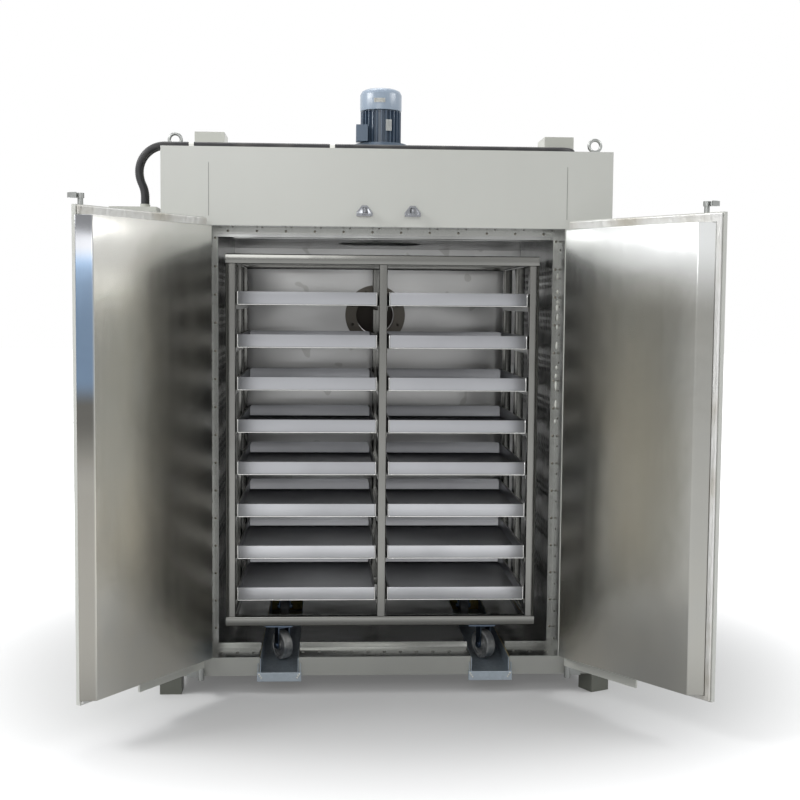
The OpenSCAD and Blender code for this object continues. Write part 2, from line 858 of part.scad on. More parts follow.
// The route of hose k, from the right heater cover to the control box
function route(k) = let(
    y = yf + hose_in + k * hose_pitch,
    xs = cover_x + (0.5 - k) * hose_side_share * hose_pitch,
    r3 = hose_shift / 2 / (1 - cos(hose_bend_a)),
    xo = hose_end_x - hose_shift + drop_r,
    p0 = [xs, cover_y0, hose_z],
    g0 = [p0, [0, -1, 0], [0, 0, 0], 0, cover_y0 - y - bend_r],
    p1 = seg_p(g0, g0[4]),
    g1 = [p1, [0, -1, 0], [-1, 0, 0], bend_r, arc_l(bend_r, 90)],
    p2 = seg_p(g1, g1[4]),
    g2 = [p2, [-1, 0, 0], [0, 0, 0], 0, p2[0] - xo],
    p3 = seg_p(g2, g2[4]),
    g3 = [p3, [-1, 0, 0], [0, 0, -1], drop_r, arc_l(drop_r, 90)],
    p4 = seg_p(g3, g3[4]),
    g4 = [p4, [0, 0, -1], [1, 0, 0], r3, arc_l(r3, hose_bend_a)],
    p5 = seg_p(g4, g4[4]),
    g5 = [p5, seg_d(g4, g4[4]), [-cos(hose_bend_a), 0, -sin(hose_bend_a)], r3,
        arc_l(r3, hose_bend_a)],
    p6 = seg_p(g5, g5[4]),
    g6 = [p6, [0, 0, -1], [0, 0, 0], 0, p6[2] - hose_top])
    [g0, g1, g2, g3, g4, g5, g6];
function total(v, i = 0) = i >= len(v) ? 0 : v[i][4] + total(v, i + 1);
function find(v, s, i = 0) = i >= len(v) - 1 || s <= v[i][4] ? [i, min(s, v[i][4])]
    : find(v, s - v[i][4], i + 1);

// One ring of a hose, eight points about the route
function ring(v, s, r) = let(
    f = find(v, s), g = v[f[0]], p = seg_p(g, f[1]), d = seg_d(g, f[1]),
    up = f[0] < 3 ? [0, 0, 1] : cross([0, 1, 0], d),
    sd = f[0] < 3 ? cross(d, [0, 0, 1]) : [0, 1, 0])
    [for (i = [0:7]) p + r * (cos(i * 45) * up + sin(i * 45) * sd)];

// A ribbed hose as one closed surface with its bore
module hose(k) {
    v = route(k);
    l = total(v);
    nb = round(rib_n / 2);
    outer = [for (i = [0:2 * rib_n]) ring(v, l * i / (2 * rib_n),
        i == 0 || i == 2 * rib_n || i % 2 == 1 ? hose_r : hose_r - groove_d)];
    inner = [for (i = [0:nb]) ring(v, l * i / nb, hose_bore_r)];
    no = len(outer);
    pts = [for (w = outer, q = w) q, for (w = inner, q = w) q];
    b = no * 8;
    skin = [for (i = [0:no - 2], j = [0:7]) let(
        a0 = i * 8 + j, a1 = i * 8 + (j + 1) % 8) each [[a0, a1, a1 + 8], [a0, a1 + 8, a0 + 8]]];
    bore = [for (i = [0:nb - 1], j = [0:7]) let(
        a0 = b + i * 8 + j, a1 = b + i * 8 + (j + 1) % 8) each [[a0, a1 + 8, a1], [a0, a0 + 8, a1 + 8]]];
    ends = [for (j = [0:7]) let(j1 = (j + 1) % 8, o = (no - 1) * 8, q = b + nb * 8)
        each [[j, b + j, b + j1], [j, b + j1, j1], [o + j, q + j1, q + j], [o + j, o + j1, q + j1]]];
    polyhedron(points = pts, faces = concat(skin, bore, ends), convexity = 10);
}

// Two corrugated hoses over the roof
module conduit_hoses() {
    color("#1d1e20") for (k = [0, 1]) hose(k);
}

// Saddle clips that hold the hoses down
module hose_clips() {
    r = hose_r + rest_gap;
    color("#d9d9d3") for (x = clip_xs, k = [0, 1]) {
        y = yf + hose_in + k * hose_pitch;
        s = k == 0 ? -1 : 1;
        difference() {
            union() {
                bar_x(x - clip_w / 2, x + clip_w / 2, y, hose_z, r + clip_t / 3);
                block(x - clip_w / 2, x + clip_w / 2, y - r - clip_t / 3, y + r + clip_t / 3,
                    roof_z, hose_z);
                block(x - clip_w / 2, x + clip_w / 2, s > 0 ? y : y - r - clip_foot,
                    s > 0 ? y + r + clip_foot : y, roof_z, roof_z + clip_t / 2);
            }
            bar_x(x - clip_w, x + clip_w, y, hose_z, r);
            block(x - clip_w, x + clip_w, y - r, y + r, roof_z - over, hose_z);
        }
    }
}

// Four lifting eyes on the roof
module lifting_eyes() {
    ro = eye_r + eye_ring;
    z = roof_z + eye_h - ro;
    color("#9a9c98") for (sx = [-1, 1], sy = [-1, 1]) translate([sx * eye_x, sy * eye_y, 0])
        difference() {
            union() {
                bar_z(0, 0, roof_z, roof_z + eye_base_h, eye_base_r);
                block(-eye_neck_w / 2, eye_neck_w / 2, -eye_t / 2, eye_t / 2, roof_z, z);
                bar_y(0, -eye_t / 2, eye_t / 2, z, ro);
            }
            bar_y(0, -eye_t, eye_t, z, eye_r);
        }
}

// Keeper plates with ears, roller pins and screws on the header
module latch_keepers() {
    a = keeper_w / 2;
    b = keeper_h / 2;
    c = a / 3;
    h = roller_h / 2 + roller_gap;
    color("#d5d8da") both() translate([latch_x, 0, latch_z]) {
        translate([0, yf, 0]) rotate([90, 0, 0]) linear_extrude(keeper_t)
            polygon([[-c, b], [c, b], [a, -b / 3], [a, -b], [-a, -b], [-a, -b / 3]]);
        difference() {
            for (z = [-h - ear_t, h])
                block(-ear_w / 2, ear_w / 2, roller_y - ear_w / 2, yf - keeper_t, z, z + ear_t);
        }
        bar_z(0, roller_y, -h - ear_t, h + ear_t, roller_pin_r);
        for (p = [[-a + c / 2, -2 * b / 3], [a - c / 2, -2 * b / 3]])
            bar_y(p[0], yf - keeper_t - screw_h, yf - keeper_t, p[1], screw_r);
    }
}

// A free roller on its keeper pin
module keeper_roller(s) {
    color("#e3e6e8") side(s) difference() {
        bar_z(latch_x, roller_y, latch_z - roller_h / 2, latch_z + roller_h / 2, roller_r);
        bar_z(latch_x, roller_y, latch_z - roller_h, latch_z + roller_h, roller_pin_r + run_gap);
    }
}
module left_keeper_roller() { keeper_roller(-1); }
module right_keeper_roller() { keeper_roller(1); }

// Painted door pan with hinge halves and rod guides
module door_shell(s) {
    x0 = s > 0 ? right_x0 : left_x0;
    x1 = hx - lip_gap;
    color("#babbb5") swung(s) {
        difference() {
            union() {
                block(x0, x1, face_y, back_y, lip_z0, lip_z1);
                for (i = [0:2]) {
                    z = hinge_zs[i];
                    bar_z(hx, hy, z, z + knuckle_h, knuckle_r);
                    block(hx - (i == 0 ? strap_l : leaf_l), hx, face_y - strap_t, face_y, z, z + knuckle_h);
                }
                for (z = guide_zs)
                    block(latch_x - guide_w / 2, latch_x + guide_w / 2, rod_y - rod_r - guide_wall,
                        face_y - seam, z, z + guide_h);
            }
            for (z = hinge_zs) bar_z(hx, hy, z - over, z + knuckle_h + over, knuckle_bore_r);
            bar_z(latch_x, rod_y, rod_foot_z - over, latch_z, rod_r + run_gap);
            block(x0 + shell_t, x1 - shell_t, face_y + shell_t, back_y - shell_t,
                lip_z0 + shell_t, lip_z1 - shell_t);
            block(max(x0, plug_x0) + window_inset, plug_x1 - window_inset, back_y - shell_t - over,
                back_y + over, plug_z0 + window_inset, plug_z1 - window_inset);
        }
    }
}

// Plan outline of a plug, drawn in by t
module plug_outline(s, t) {
    m = bevel_w / plug_d;
    k = t * (sqrt(1 + m * m) + m);
    tip = s > 0 ? [[plug_x0 + k, yf], [plug_x0 + k, back_y]]
        : [[plug_x0 + k + m * t, yf + t], [left_x0 + t, yf + t], [left_x0 + t, back_y]];
    polygon(concat([[plug_x1 - t, back_y], [plug_x1 - t, plug_y - t],
        [plug_x0 + bevel_w + k, plug_y - t]], tip));
}

// Stainless plug that fills the recess
module door_plug(s) {
    color("#aab0b2") swung(s) difference() {
        translate([0, 0, plug_z0]) linear_extrude(plug_z1 - plug_z0) plug_outline(s, 0);
        translate([0, 0, plug_z0 + plug_t]) linear_extrude(plug_z1 - plug_z0 - 2 * plug_t)
            intersection() {
                plug_outline(s, plug_t);
                translate([plug_x0, back_y + plug_t]) square([plug_x1, plug_d + gasket_t]);
            }
    }
}

// Mineral wool inside a plug
module door_fill(s) {
    t = plug_t + rest_gap;
    color("#d8c98e") swung(s) translate([0, 0, plug_z0 + t]) linear_extrude(plug_z1 - plug_z0 - 2 * t)
        intersection() {
            plug_outline(s, t);
            translate([plug_x0, back_y + t]) square([plug_x1, plug_d + gasket_t]);
        }
}

// Seal around the plug on the inner side of the shell
module door_gasket(s) {
    g = gasket_inset;
    x0 = (s > 0 ? right_x0 : left_x0) + g;
    cut = s > 0 ? plug_x0 : x0 - over;
    color("#cfcabb") swung(s) difference() {
        block(x0, hx - lip_gap - g, back_y, yf - seal_gap, lip_z0 + g, lip_z1 - g);
        block(cut, plug_x1, back_y - over, yf, plug_z0, plug_z1);
    }
}

// Lock rod with collar, claw and handle hub
module lock_rod(s) {
    color("#6d7072") swung(s) {
        translate([latch_x, rod_y, 0]) {
            bar_z(0, 0, rod_foot_z, latch_z, rod_r);
            bar_z(0, 0, guide_zs[2] + guide_h + rest_gap, guide_zs[2] + guide_h + rest_gap + collar_h, collar_r);
            bar_z(0, 0, latch_z - roller_h / 2, latch_z + roller_h / 2, head_r);
            bar_z(0, 0, handle_z - hub_h / 2, handle_z + hub_h / 2, hub_r);
            bar_y(0, -hub_r - turn_gap - handle_t - cap_t - turn_gap, 0, handle_z, pivot_r);
            bar_y(0, -hub_r - 2 * turn_gap - handle_t - cap_t, -hub_r - 2 * turn_gap - handle_t,
                handle_z, 2 * pivot_r);
            translate([0, 0, latch_z - roller_h / 2]) claw();
        }
    }
}

// Claw that reaches behind the keeper roller, pointing to the free edge
module claw() {
    claw_far = claw_reach_share * claw_r;
    arm_a = claw_b - asin(claw_arm_w / 2 / claw_r);
    rotate([0, 0, 180]) {
        linear_extrude(roller_h) intersection() {
            difference() {
                circle(r = claw_r);
                circle(r = claw_r - claw_t);
            }
            polygon([[0, 0], claw_far * [cos(claw_b), sin(claw_b)], claw_far * [1, 0],
                claw_far * [cos(claw_a), -sin(claw_a)]]);
        }
        rotate([0, 0, arm_a])
            block(0, claw_r - claw_t / 2, -claw_arm_w / 2, claw_arm_w / 2, 0, roller_h);
    }
}

// Hanging lever handle with a thick grip
module door_handle(s) {
    y1 = rod_y - hub_r - turn_gap;
    y0 = y1 - handle_t;
    color("#3a3c3e") swung(s) difference() {
        union() {
            bar_y(latch_x, y0, y1, handle_z, handle_w / 2);
            block(latch_x - handle_w / 4, latch_x + handle_w / 4, y0, y1, handle_z - handle_l, handle_z);
            block(latch_x - handle_w / 2, latch_x + handle_w / 2, y0, y1,
                handle_z - handle_l, handle_z - handle_l / 3);
        }
        bar_y(latch_x, y0 - over, y1 + over, handle_z, pivot_r + run_gap);
    }
}

module left_door_shell() { door_shell(-1); }
module right_door_shell() { door_shell(1); }
module left_door_plug() { door_plug(-1); }
module right_door_plug() { door_plug(1); }
module left_door_fill() { door_fill(-1); }
module right_door_fill() { door_fill(1); }
module left_door_gasket() { door_gasket(-1); }
module right_door_gasket() { door_gasket(1); }
module left_lock_rod() { lock_rod(-1); }
module right_lock_rod() { lock_rod(1); }
module left_door_handle() { door_handle(-1); }
module right_door_handle() { door_handle(1); }

// A hollow tube with closed ends
module tube(x0, x1, y0, y1, z0, z1) {
    t = tube_wall;
    difference() {
        block(x0, x1, y0, y1, z0, z1);
        block(x0 + t, x1 - t, y0 + t, y1 - t, z0 + t, z1 - t);
    }
}

// Trolley frame of square tube with its middle posts and runners
module trolley_frame() {
    a = tube_w / 2;
    z0 = rail_z + tube_w + seam;
    z1 = cart_top - tube_w;
    color("#b3b9bc") translate([cart_x, 0, 0]) {
        for (z = [rail_z, z1]) {
            for (y = [cart_y0, cart_y1 - tube_w])
                tube(-cart_hw, cart_hw, y, y + tube_w, z, z + tube_w);
            for (x = [-cart_hw, cart_hw - tube_w])
                tube(x, x + tube_w, cart_y0 + tube_w + seam, cart_y1 - tube_w - seam, z, z + tube_w);
        }
        for (x = [-1, 1] * (cart_hw - a), y = [cart_y0 + a, side_post_y, cart_y1 - a])
            tube(x - a, x + a, y - a, y + a, z0, z1 - seam);
        for (y = [cart_y0, cart_y1 - tube_w])
            block(-mid_w / 2, mid_w / 2, y, y + tube_w, z0, z1 - seam);
        for (i = [0:level_n - 1]) runners(top_rim_z - i * level_pitch - tray_h - rest_gap);
    }
}

// Four angle runners of one level
module runners(z) {
    y0 = cart_y0 + tube_w / 2;
    y1 = cart_y1 - tube_w / 2;
    a = post_x - seam;
    b = mid_w / 2 + seam;
    both() {
        block(post_x - runner_w, a, y0, y1, z - runner_t, z);
        block(a - runner_t, a, y0, y1, z - runner_leg, z);
        block(b, mid_w / 2 + runner_w, y0, y1, z - runner_t, z);
        block(b, b + runner_t, y0, y1, z - runner_leg, z);
    }
}

// Caster plates with their races, and the rigid rear forks
module caster_mounts() {
    y = cart_y0 + caster_in;
    color("#4a545f") translate([cart_x, 0, 0]) for (x = [-caster_x, caster_x]) {
        difference() {
            union() {
                block(x - caster_plate_w / 2, x + caster_plate_w / 2, cart_y0,
                    y + caster_plate_w / 2, rail_z - caster_plate_t, rail_z);
                bar_z(x, y, rail_z - caster_plate_t - race_h, rail_z, race_r);
                bar_z(x, y, rail_z, rail_z + stem_l, stem_r + 2 * fork_t);
            }
            bar_z(x, y, rail_z - 2 * race_h - over, rail_z + stem_l + over, stem_r + run_gap);
        }
        rear_fork(x);
    }
}

// Two fork cheeks with an axle at the middle of the given top
module fork_legs(z1) {
    h = wheel_w / 2 + fork_gap;
    for (s = [-1, 1]) {
        x = s > 0 ? h : -h - fork_t;
        bar_x(x, x + fork_t, 0, axle_z, fork_w / 2 - fork_t);
        block(x, x + fork_t, -fork_w / 2 + fork_t, fork_w / 2 - fork_t, axle_z, z1);
        n = s > 0 ? h + fork_t : -h - fork_t - nut_h;
        bar_x(n, n + nut_h, 0, axle_z, nut_r);
    }
    bar_x(-h - fork_t, h + fork_t, 0, axle_z, axle_r);
}

// Rigid rear fork under the frame
module rear_fork(x) {
    y = cart_y1 - rear_in;
    h = wheel_w / 2 + fork_gap + fork_t;
    translate([x, y, 0]) fork_legs(rail_z);
    block(x - h, x + h, y - fork_w / 2, cart_y1 - tube_w / 2, rail_z - fork_t, rail_z);
}

// Swivel fork with its stem, as shown turned
module front_caster(x) {
    h = wheel_w / 2 + fork_gap + fork_t;
    color("#4a545f") translate([cart_x + x, cart_y0 + caster_in, 0]) rotate([0, 0, swivel]) {
        bar_z(0, 0, fork_top - fork_t, rail_z + stem_l, stem_r);
        bar_z(0, 0, fork_top - fork_t, fork_top, race_r);
        block(-h, h, -trail - fork_w / 2 + fork_t, race_r / 2, fork_top - fork_t, fork_top);
        translate([0, -trail, 0]) fork_legs(fork_top);
    }
}

// A wheel with its tread and hub bore
module wheel_at(x, y, a, t) {
    color("#56595a") translate([cart_x + x, y, axle_z]) rotate([0, 0, a]) translate([0, -t, 0])
        difference() {
            union() {
                bar_x(-wheel_w / 2, wheel_w / 2, 0, 0, wheel_r);
                bar_x(-wheel_w / 2 - fork_gap / 2, wheel_w / 2 + fork_gap / 2, 0, 0, axle_r + hub_wall);
            }
            bar_x(-wheel_w, wheel_w, 0, 0, axle_r + run_gap);
            for (s = [-1, 1]) translate([s * (wheel_w / 2 - tread_t / 2), 0, 0]) difference() {
                bar_x(-tread_t / 2 - over * (s < 0 ? 1 : 0), tread_t / 2 + over * (s > 0 ? 1 : 0),
                    0, 0, wheel_r - tread_t);
                bar_x(-tread_t - over, tread_t + over, 0, 0, axle_r + hub_wall);
            }
        }
}

module front_left_caster() { front_caster(-caster_x); }
module front_right_caster() { front_caster(caster_x); }
module front_left_wheel() { wheel_at(-caster_x, cart_y0 + caster_in, swivel, trail); }
module front_right_wheel() { wheel_at(caster_x, cart_y0 + caster_in, swivel, trail); }
module rear_left_wheel() { wheel_at(-caster_x, cart_y1 - rear_in, 0, 0); }
module rear_right_wheel() { wheel_at(caster_x, cart_y1 - rear_in, 0, 0); }

// One drying tray, s = side and i = level from the top
module tray(s, i) {
    a = tray_w / 2;
    b = a - rim_w;
    y0 = cart_y0 + rest_gap;
    y1 = y0 + tray_d;
    z1 = top_rim_z - i * level_pitch;
    z0 = z1 - tray_h;
    t = tray_t;
    color("#b9c0c3") translate([cart_x + s * bay_x, 0, 0]) {
        difference() {
            union() {
                block(-b, b, y0 + rim_w, y1 - rim_w, z0, z1);
                block(-a, a, y0, y1, z1 - 2 * t, z1);
            }
            block(-b + t, b - t, y0 + rim_w + t, y1 - rim_w - t, z0 + t, z1 + over);
        }
    }
}

module tray_left_1() { tray(-1, 0); }
module tray_left_2() { tray(-1, 1); }
module tray_left_3() { tray(-1, 2); }
module tray_left_4() { tray(-1, 3); }
module tray_left_5() { tray(-1, 4); }
module tray_left_6() { tray(-1, 5); }
module tray_left_7() { tray(-1, 6); }
module tray_left_8() { tray(-1, 7); }
module tray_right_1() { tray(1, 0); }
module tray_right_2() { tray(1, 1); }
module tray_right_3() { tray(1, 2); }
module tray_right_4() { tray(1, 3); }
module tray_right_5() { tray(1, 4); }
module tray_right_6() { tray(1, 5); }
module tray_right_7() { tray(1, 6); }
module tray_right_8() { tray(1, 7); }

// Control box on stand-offs with glands and hinge pins
module control_box() {
    color("#b0b2ad") {
        difference() {
            union() {
                block(box_x1, box_x0, box_y0, box_y1, box_z0, box_top);
                for (y = [box_y0 + spacer_in, box_y1 - spacer_in],
                    z = [box_z0 + spacer_in, box_top - spacer_in])
                    bar_x(box_x0, -hw, y, z, spacer_r);
                for (k = [0, 1]) bar_z(hose_end_x, yf + hose_in + k * hose_pitch, box_top, hose_top,
                    hose_r + hose_gland_wall);
                bar_z((box_x0 + box_x1) / 2, (box_y0 + box_y1) / 2, box_z0 - gland_h, box_z0,
                    gland_r + gland_wall);
                for (z = box_hinge_zs) {
                    bar_z(box_hinge_x, box_hinge_y, z - box_knuckle_h, z - turn_gap, box_knuckle_r);
                    bar_z(box_hinge_x, box_hinge_y, z - box_knuckle_h, z + box_knuckle_h - over, box_pin_r);
                    block(box_hinge_x, box_hinge_x + 2 * box_knuckle_r, box_y1,
                        box_hinge_y, z - box_knuckle_h, z - turn_gap);
                }
            }
            block(box_x1 - over, box_x0 - box_t, box_y0 + box_t, box_y1 - box_t,
                box_z0 + box_t, box_top - box_t);
            for (k = [0, 1]) bar_z(hose_end_x, yf + hose_in + k * hose_pitch, box_top - box_t - over,
                hose_top + over, hose_bore_r);
            bar_z((box_x0 + box_x1) / 2, (box_y0 + box_y1) / 2, box_z0 - gland_h - over,
                box_z0 + box_t + over, gland_r);
        }
    }
}

// Control box door, hinged at its rear edge
module control_box_door() {
    color("#b6b8b3") difference() {
        union() {
            block(lid_x2, lid_x1, box_y0, box_y1, box_z0, box_top);
            for (z = box_hinge_zs) {
                bar_z(box_hinge_x, box_hinge_y, z, z + box_knuckle_h, box_knuckle_r);
                block(box_hinge_x - box_knuckle_r, box_hinge_x, box_y1 - over, box_hinge_y,
                    z, z + box_knuckle_h);
            }
        }
        block(lid_x2 + box_t, lid_x1 + over, box_y0 + box_t, box_y1 - box_t,
            box_z0 + box_t, box_top - box_t);
        for (z = box_hinge_zs)
            bar_z(box_hinge_x, box_hinge_y, z - over, z + box_knuckle_h + over, box_pin_r + run_gap);
        bar_x(lid_x2 - over, lid_x2 + box_t + over, knob_y, knob_z, spindle_r + run_gap);
    }
}

// Rotary main switch on the box door
module main_switch() {
    color("#2b2b2b") {
        bar_x(lid_x2 - turn_gap - knob_l / 3, lid_x2 - turn_gap, knob_y, knob_z, knob_r);
        block(lid_x2 - turn_gap - knob_l, lid_x2 - turn_gap - knob_l / 3, knob_y - knob_r / 4,
            knob_y + knob_r / 4, knob_z - knob_r, knob_z + knob_r);
        bar_x(lid_x2 - turn_gap, lid_x2 + box_t + spindle_in, knob_y, knob_z, spindle_r);
    }
}

base_frame();
outer_panels();
front_panels();
cabinet_hinges();
insulation();
inner_liner();
air_panels();
track_channels();
opening_trim();
exhaust_port();
heating_elements();
heater_covers();
fan_motor();
motor_cowl();
fan_rotor();
conduit_hoses();
hose_clips();
lifting_eyes();
latch_keepers();
left_keeper_roller();
right_keeper_roller();
left_door_shell();
left_door_plug();
left_door_fill();
left_door_gasket();
left_lock_rod();
left_door_handle();
right_door_shell();
right_door_plug();
right_door_fill();
right_door_gasket();
right_lock_rod();
right_door_handle();
trolley_frame();
caster_mounts();
front_left_caster();
front_right_caster();
front_left_wheel();
front_right_wheel();
rear_left_wheel();
rear_right_wheel();
control_box();
control_box_door();
main_switch();
tray_left_1();
tray_left_2();
tray_left_3();
tray_left_4();
tray_left_5();
tray_left_6();
tray_left_7();
tray_left_8();
tray_right_1();
tray_right_2();
tray_right_3();
tray_right_4();
tray_right_5();
tray_right_6();
tray_right_7();
tray_right_8();
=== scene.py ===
import bpy, bmesh, json, math, random
from mathutils import Matrix, Vector


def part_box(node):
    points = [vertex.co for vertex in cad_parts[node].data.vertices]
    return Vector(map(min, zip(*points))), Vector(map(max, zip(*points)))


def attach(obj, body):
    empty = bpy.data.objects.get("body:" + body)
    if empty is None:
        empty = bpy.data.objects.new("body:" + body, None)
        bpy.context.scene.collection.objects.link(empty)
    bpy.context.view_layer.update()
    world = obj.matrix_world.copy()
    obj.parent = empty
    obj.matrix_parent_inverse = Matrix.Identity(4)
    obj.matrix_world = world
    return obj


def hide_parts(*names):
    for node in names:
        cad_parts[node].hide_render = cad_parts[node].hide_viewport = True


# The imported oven: its nodes, and the body that each of them is on.
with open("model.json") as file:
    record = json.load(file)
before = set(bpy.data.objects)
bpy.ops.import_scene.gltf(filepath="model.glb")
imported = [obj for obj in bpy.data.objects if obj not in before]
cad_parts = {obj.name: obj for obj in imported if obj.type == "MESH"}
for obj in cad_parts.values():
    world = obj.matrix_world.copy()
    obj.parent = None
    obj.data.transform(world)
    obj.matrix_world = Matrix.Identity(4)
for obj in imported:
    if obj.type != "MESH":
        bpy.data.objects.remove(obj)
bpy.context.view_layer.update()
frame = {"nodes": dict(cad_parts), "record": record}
nodes = frame["nodes"]
body_of_node = {n: b for b, ns in frame["record"]["behaviour"]["bodies"].items() for n in ns}


# Camera
# It stands a little left of the middle, at about chest height, four metres
# in front of the doors, and looks slightly down.
def camera():
    place = Vector((-0.1876, -4.6903, 1.2736))
    yaw, pitch, roll = math.radians(3.13), math.radians(-4.21), math.radians(0.49)
    ahead = Vector((math.sin(yaw) * math.cos(pitch), math.cos(yaw) * math.cos(pitch), math.sin(pitch)))
    level = Vector((math.cos(yaw), -math.sin(yaw), 0))
    upright = level.cross(ahead)
    right = math.cos(roll) * level + math.sin(roll) * upright
    up = math.cos(roll) * upright - math.sin(roll) * level
    photo_width, focal_pixels, sensor = 800, 1301.6, 36
    data = bpy.data.cameras.new("camera")
    data.sensor_width, data.lens = sensor, focal_pixels / photo_width * sensor
    data.clip_end = 60
    obj = bpy.data.objects.new("camera", data)
    turn = Matrix((right, up, -ahead)).transposed()
    obj.matrix_world = Matrix.Translation(place) @ turn.to_4x4()
    bpy.context.collection.objects.link(obj)
    bpy.context.scene.camera = obj


camera()


# Daylight
# A soft bright sky with lamps high at the left and right and a low one in
# front; where the camera or polished metal looks past the oven, it is white.
class Wire:
    """A shader socket that can stand in a sum."""

    def __init__(self, finish, socket):
        self.finish, self.socket = finish, socket

    def maths(self, operation, a, b=0.0):
        return self.finish.node("ShaderNodeMath", {"operation": operation}, {0: a, 1: b})

    def __add__(self, other):
        return self.maths("ADD", self, other)

    __radd__ = __add__

    def __sub__(self, other):
        return self.maths("SUBTRACT", self, other)

    def __rsub__(self, other):
        return self.maths("SUBTRACT", other, self)

    def __mul__(self, other):
        return self.maths("MULTIPLY", self, other)

    __rmul__ = __mul__


class Finish:
    """A node tree with one method that makes any node."""

    def __init__(self, tree):
        self.tree = tree

    def node(self, kind, settings, sockets, out=0):
        n = self.tree.nodes.new(kind)
        for key, value in settings.items():
            if key == "stops":
                ramp = n.color_ramp
                while len(ramp.elements) > 1:
                    ramp.elements.remove(ramp.elements[-1])
                ramp.elements[0].position, ramp.elements[0].color = value[0]
                for place, colour in value[1:]:
                    ramp.elements.new(place).color = colour
            else:
                setattr(n, key, value)
        for key, value in sockets.items():
            if isinstance(value, Wire):
                self.tree.links.new(value.socket, n.inputs[key])
            else:
                n.inputs[key].default_value = value
        return Wire(self, n.outputs[out]) if n.outputs else None


def sees_backdrop(tree):
    """1 for what the camera, a mirror or a clear pane looks at."""
    kinds = ("Is Camera Ray", "Is Glossy Ray", "Is Transmission Ray")
    camera, mirror, pane = [tree.node("ShaderNodeLightPath", {}, {}, out=kind) for kind in kinds]
    return camera + mirror + pane


def yard():
    """The sky over the yard, brighter overhead than at the ground."""
    world = bpy.data.worlds.new("yard")
    bpy.context.scene.world = world
    world.use_nodes = True
    world.node_tree.nodes.clear()
    sky = Finish(world.node_tree)
    toward = sky.node("ShaderNodeTexCoord", {}, {}, out="Generated")
    height = sky.node("ShaderNodeSeparateXYZ", {}, {0: toward}, out=2)
    dome = sky.node("ShaderNodeValToRGB", {"stops": [
        (0.0, (0.30, 0.29, 0.27, 1)), (0.50, (0.34, 0.33, 0.31, 1)), (0.62, (0.52, 0.53, 0.54, 1)),
        (0.80, (0.86, 0.88, 0.90, 1)), (1.0, (0.95, 0.96, 0.98, 1))]}, {0: height * 0.5 + 0.5})
    dome_light = sky.node("ShaderNodeBackground", {}, {"Color": dome, "Strength": 0.85})
    white = sky.node("ShaderNodeBackground", {}, {"Color": (1, 1, 1, 1), "Strength": 1.0})
    both = sky.node("ShaderNodeMixShader", {}, {0: sees_backdrop(sky), 1: dome_light, 2: white})
    sky.node("ShaderNodeOutputWorld", {}, {0: both})


def lamp(name, place, aim, power, wide, tall):
    """A flat lamp at place that shines at aim."""
    data = bpy.data.lights.new(name, "AREA")
    data.shape, data.size, data.size_y = "RECTANGLE", wide, tall
    data.energy = power
    obj = bpy.data.objects.new(name, data)
    turn = (Vector(aim) - Vector(place)).to_track_quat("-Z", "Y")
    obj.matrix_world = Matrix.Translation(place) @ turn.to_matrix().to_4x4()
    bpy.context.collection.objects.link(obj)


yard()
bpy.context.scene.view_settings.view_transform = "Standard"
lamp("over_light", (-0.6, 0.9, 5.0), (-0.2, -0.1, 0.0), 66, 2.4, 2.2)
lamp("left_light", (-4.6, -1.7, 4.5), (0.0, -0.6, 1.0), 190, 3.0, 1.4)
lamp("right_light", (4.6, -1.5, 4.5), (0.0, -0.6, 1.0), 100, 3.0, 1.4)
lamp("front_light", (-1.6, -6.4, 3.1), (0.0, -0.5, 0.9), 70, 3.0, 2.0)


# Floor
# A plain pale floor that runs white into the distance and keeps the soft
# shadow under the oven.
def floor():
    half_width, gap_under_feet = 30, 0.0005
    shadow_end, white_from, glow_near = 0.9, 2.4, 0.13
    bm = bmesh.new()
    bmesh.ops.create_grid(bm, x_segments=1, y_segments=1, size=half_width)
    mesh = bpy.data.meshes.new("floor")
    bm.to_mesh(mesh)
    bm.free()
    obj = bpy.data.objects.new("floor", mesh)
    obj.location = (0, 0, -gap_under_feet)
    bpy.context.collection.objects.link(obj)
    mat = bpy.data.materials.new("pale_floor")
    mat.use_nodes = True
    mat.node_tree.nodes.clear()
    f = Finish(mat.node_tree)
    pale = f.node("ShaderNodeBsdfDiffuse", {}, {"Color": (0.48, 0.48, 0.48, 1)})
    spot = f.node("ShaderNodeNewGeometry", {}, {}, out="Position")
    away = f.node("ShaderNodeVectorMath", {"operation": "LENGTH"}, {0: spot}, out="Value")
    fade = f.node("ShaderNodeMapRange", {"interpolation_type": "SMOOTHSTEP"}, {
        0: away, 1: shadow_end, 2: white_from, 3: glow_near, 4: 1.0})
    glow = f.node("ShaderNodeEmission", {}, {"Color": (1, 1, 1, 1), "Strength": fade})
    dark = f.node("ShaderNodeEmission", {}, {"Color": (0, 0, 0, 1), "Strength": 0.0})
    extra = f.node("ShaderNodeMixShader", {}, {0: sees_backdrop(f), 1: dark, 2: glow})
    total = f.node("ShaderNodeAddShader", {}, {0: pale, 1: extra})
    f.node("ShaderNodeOutputMaterial", {}, {0: total})
    mesh.materials.append(mat)


floor()


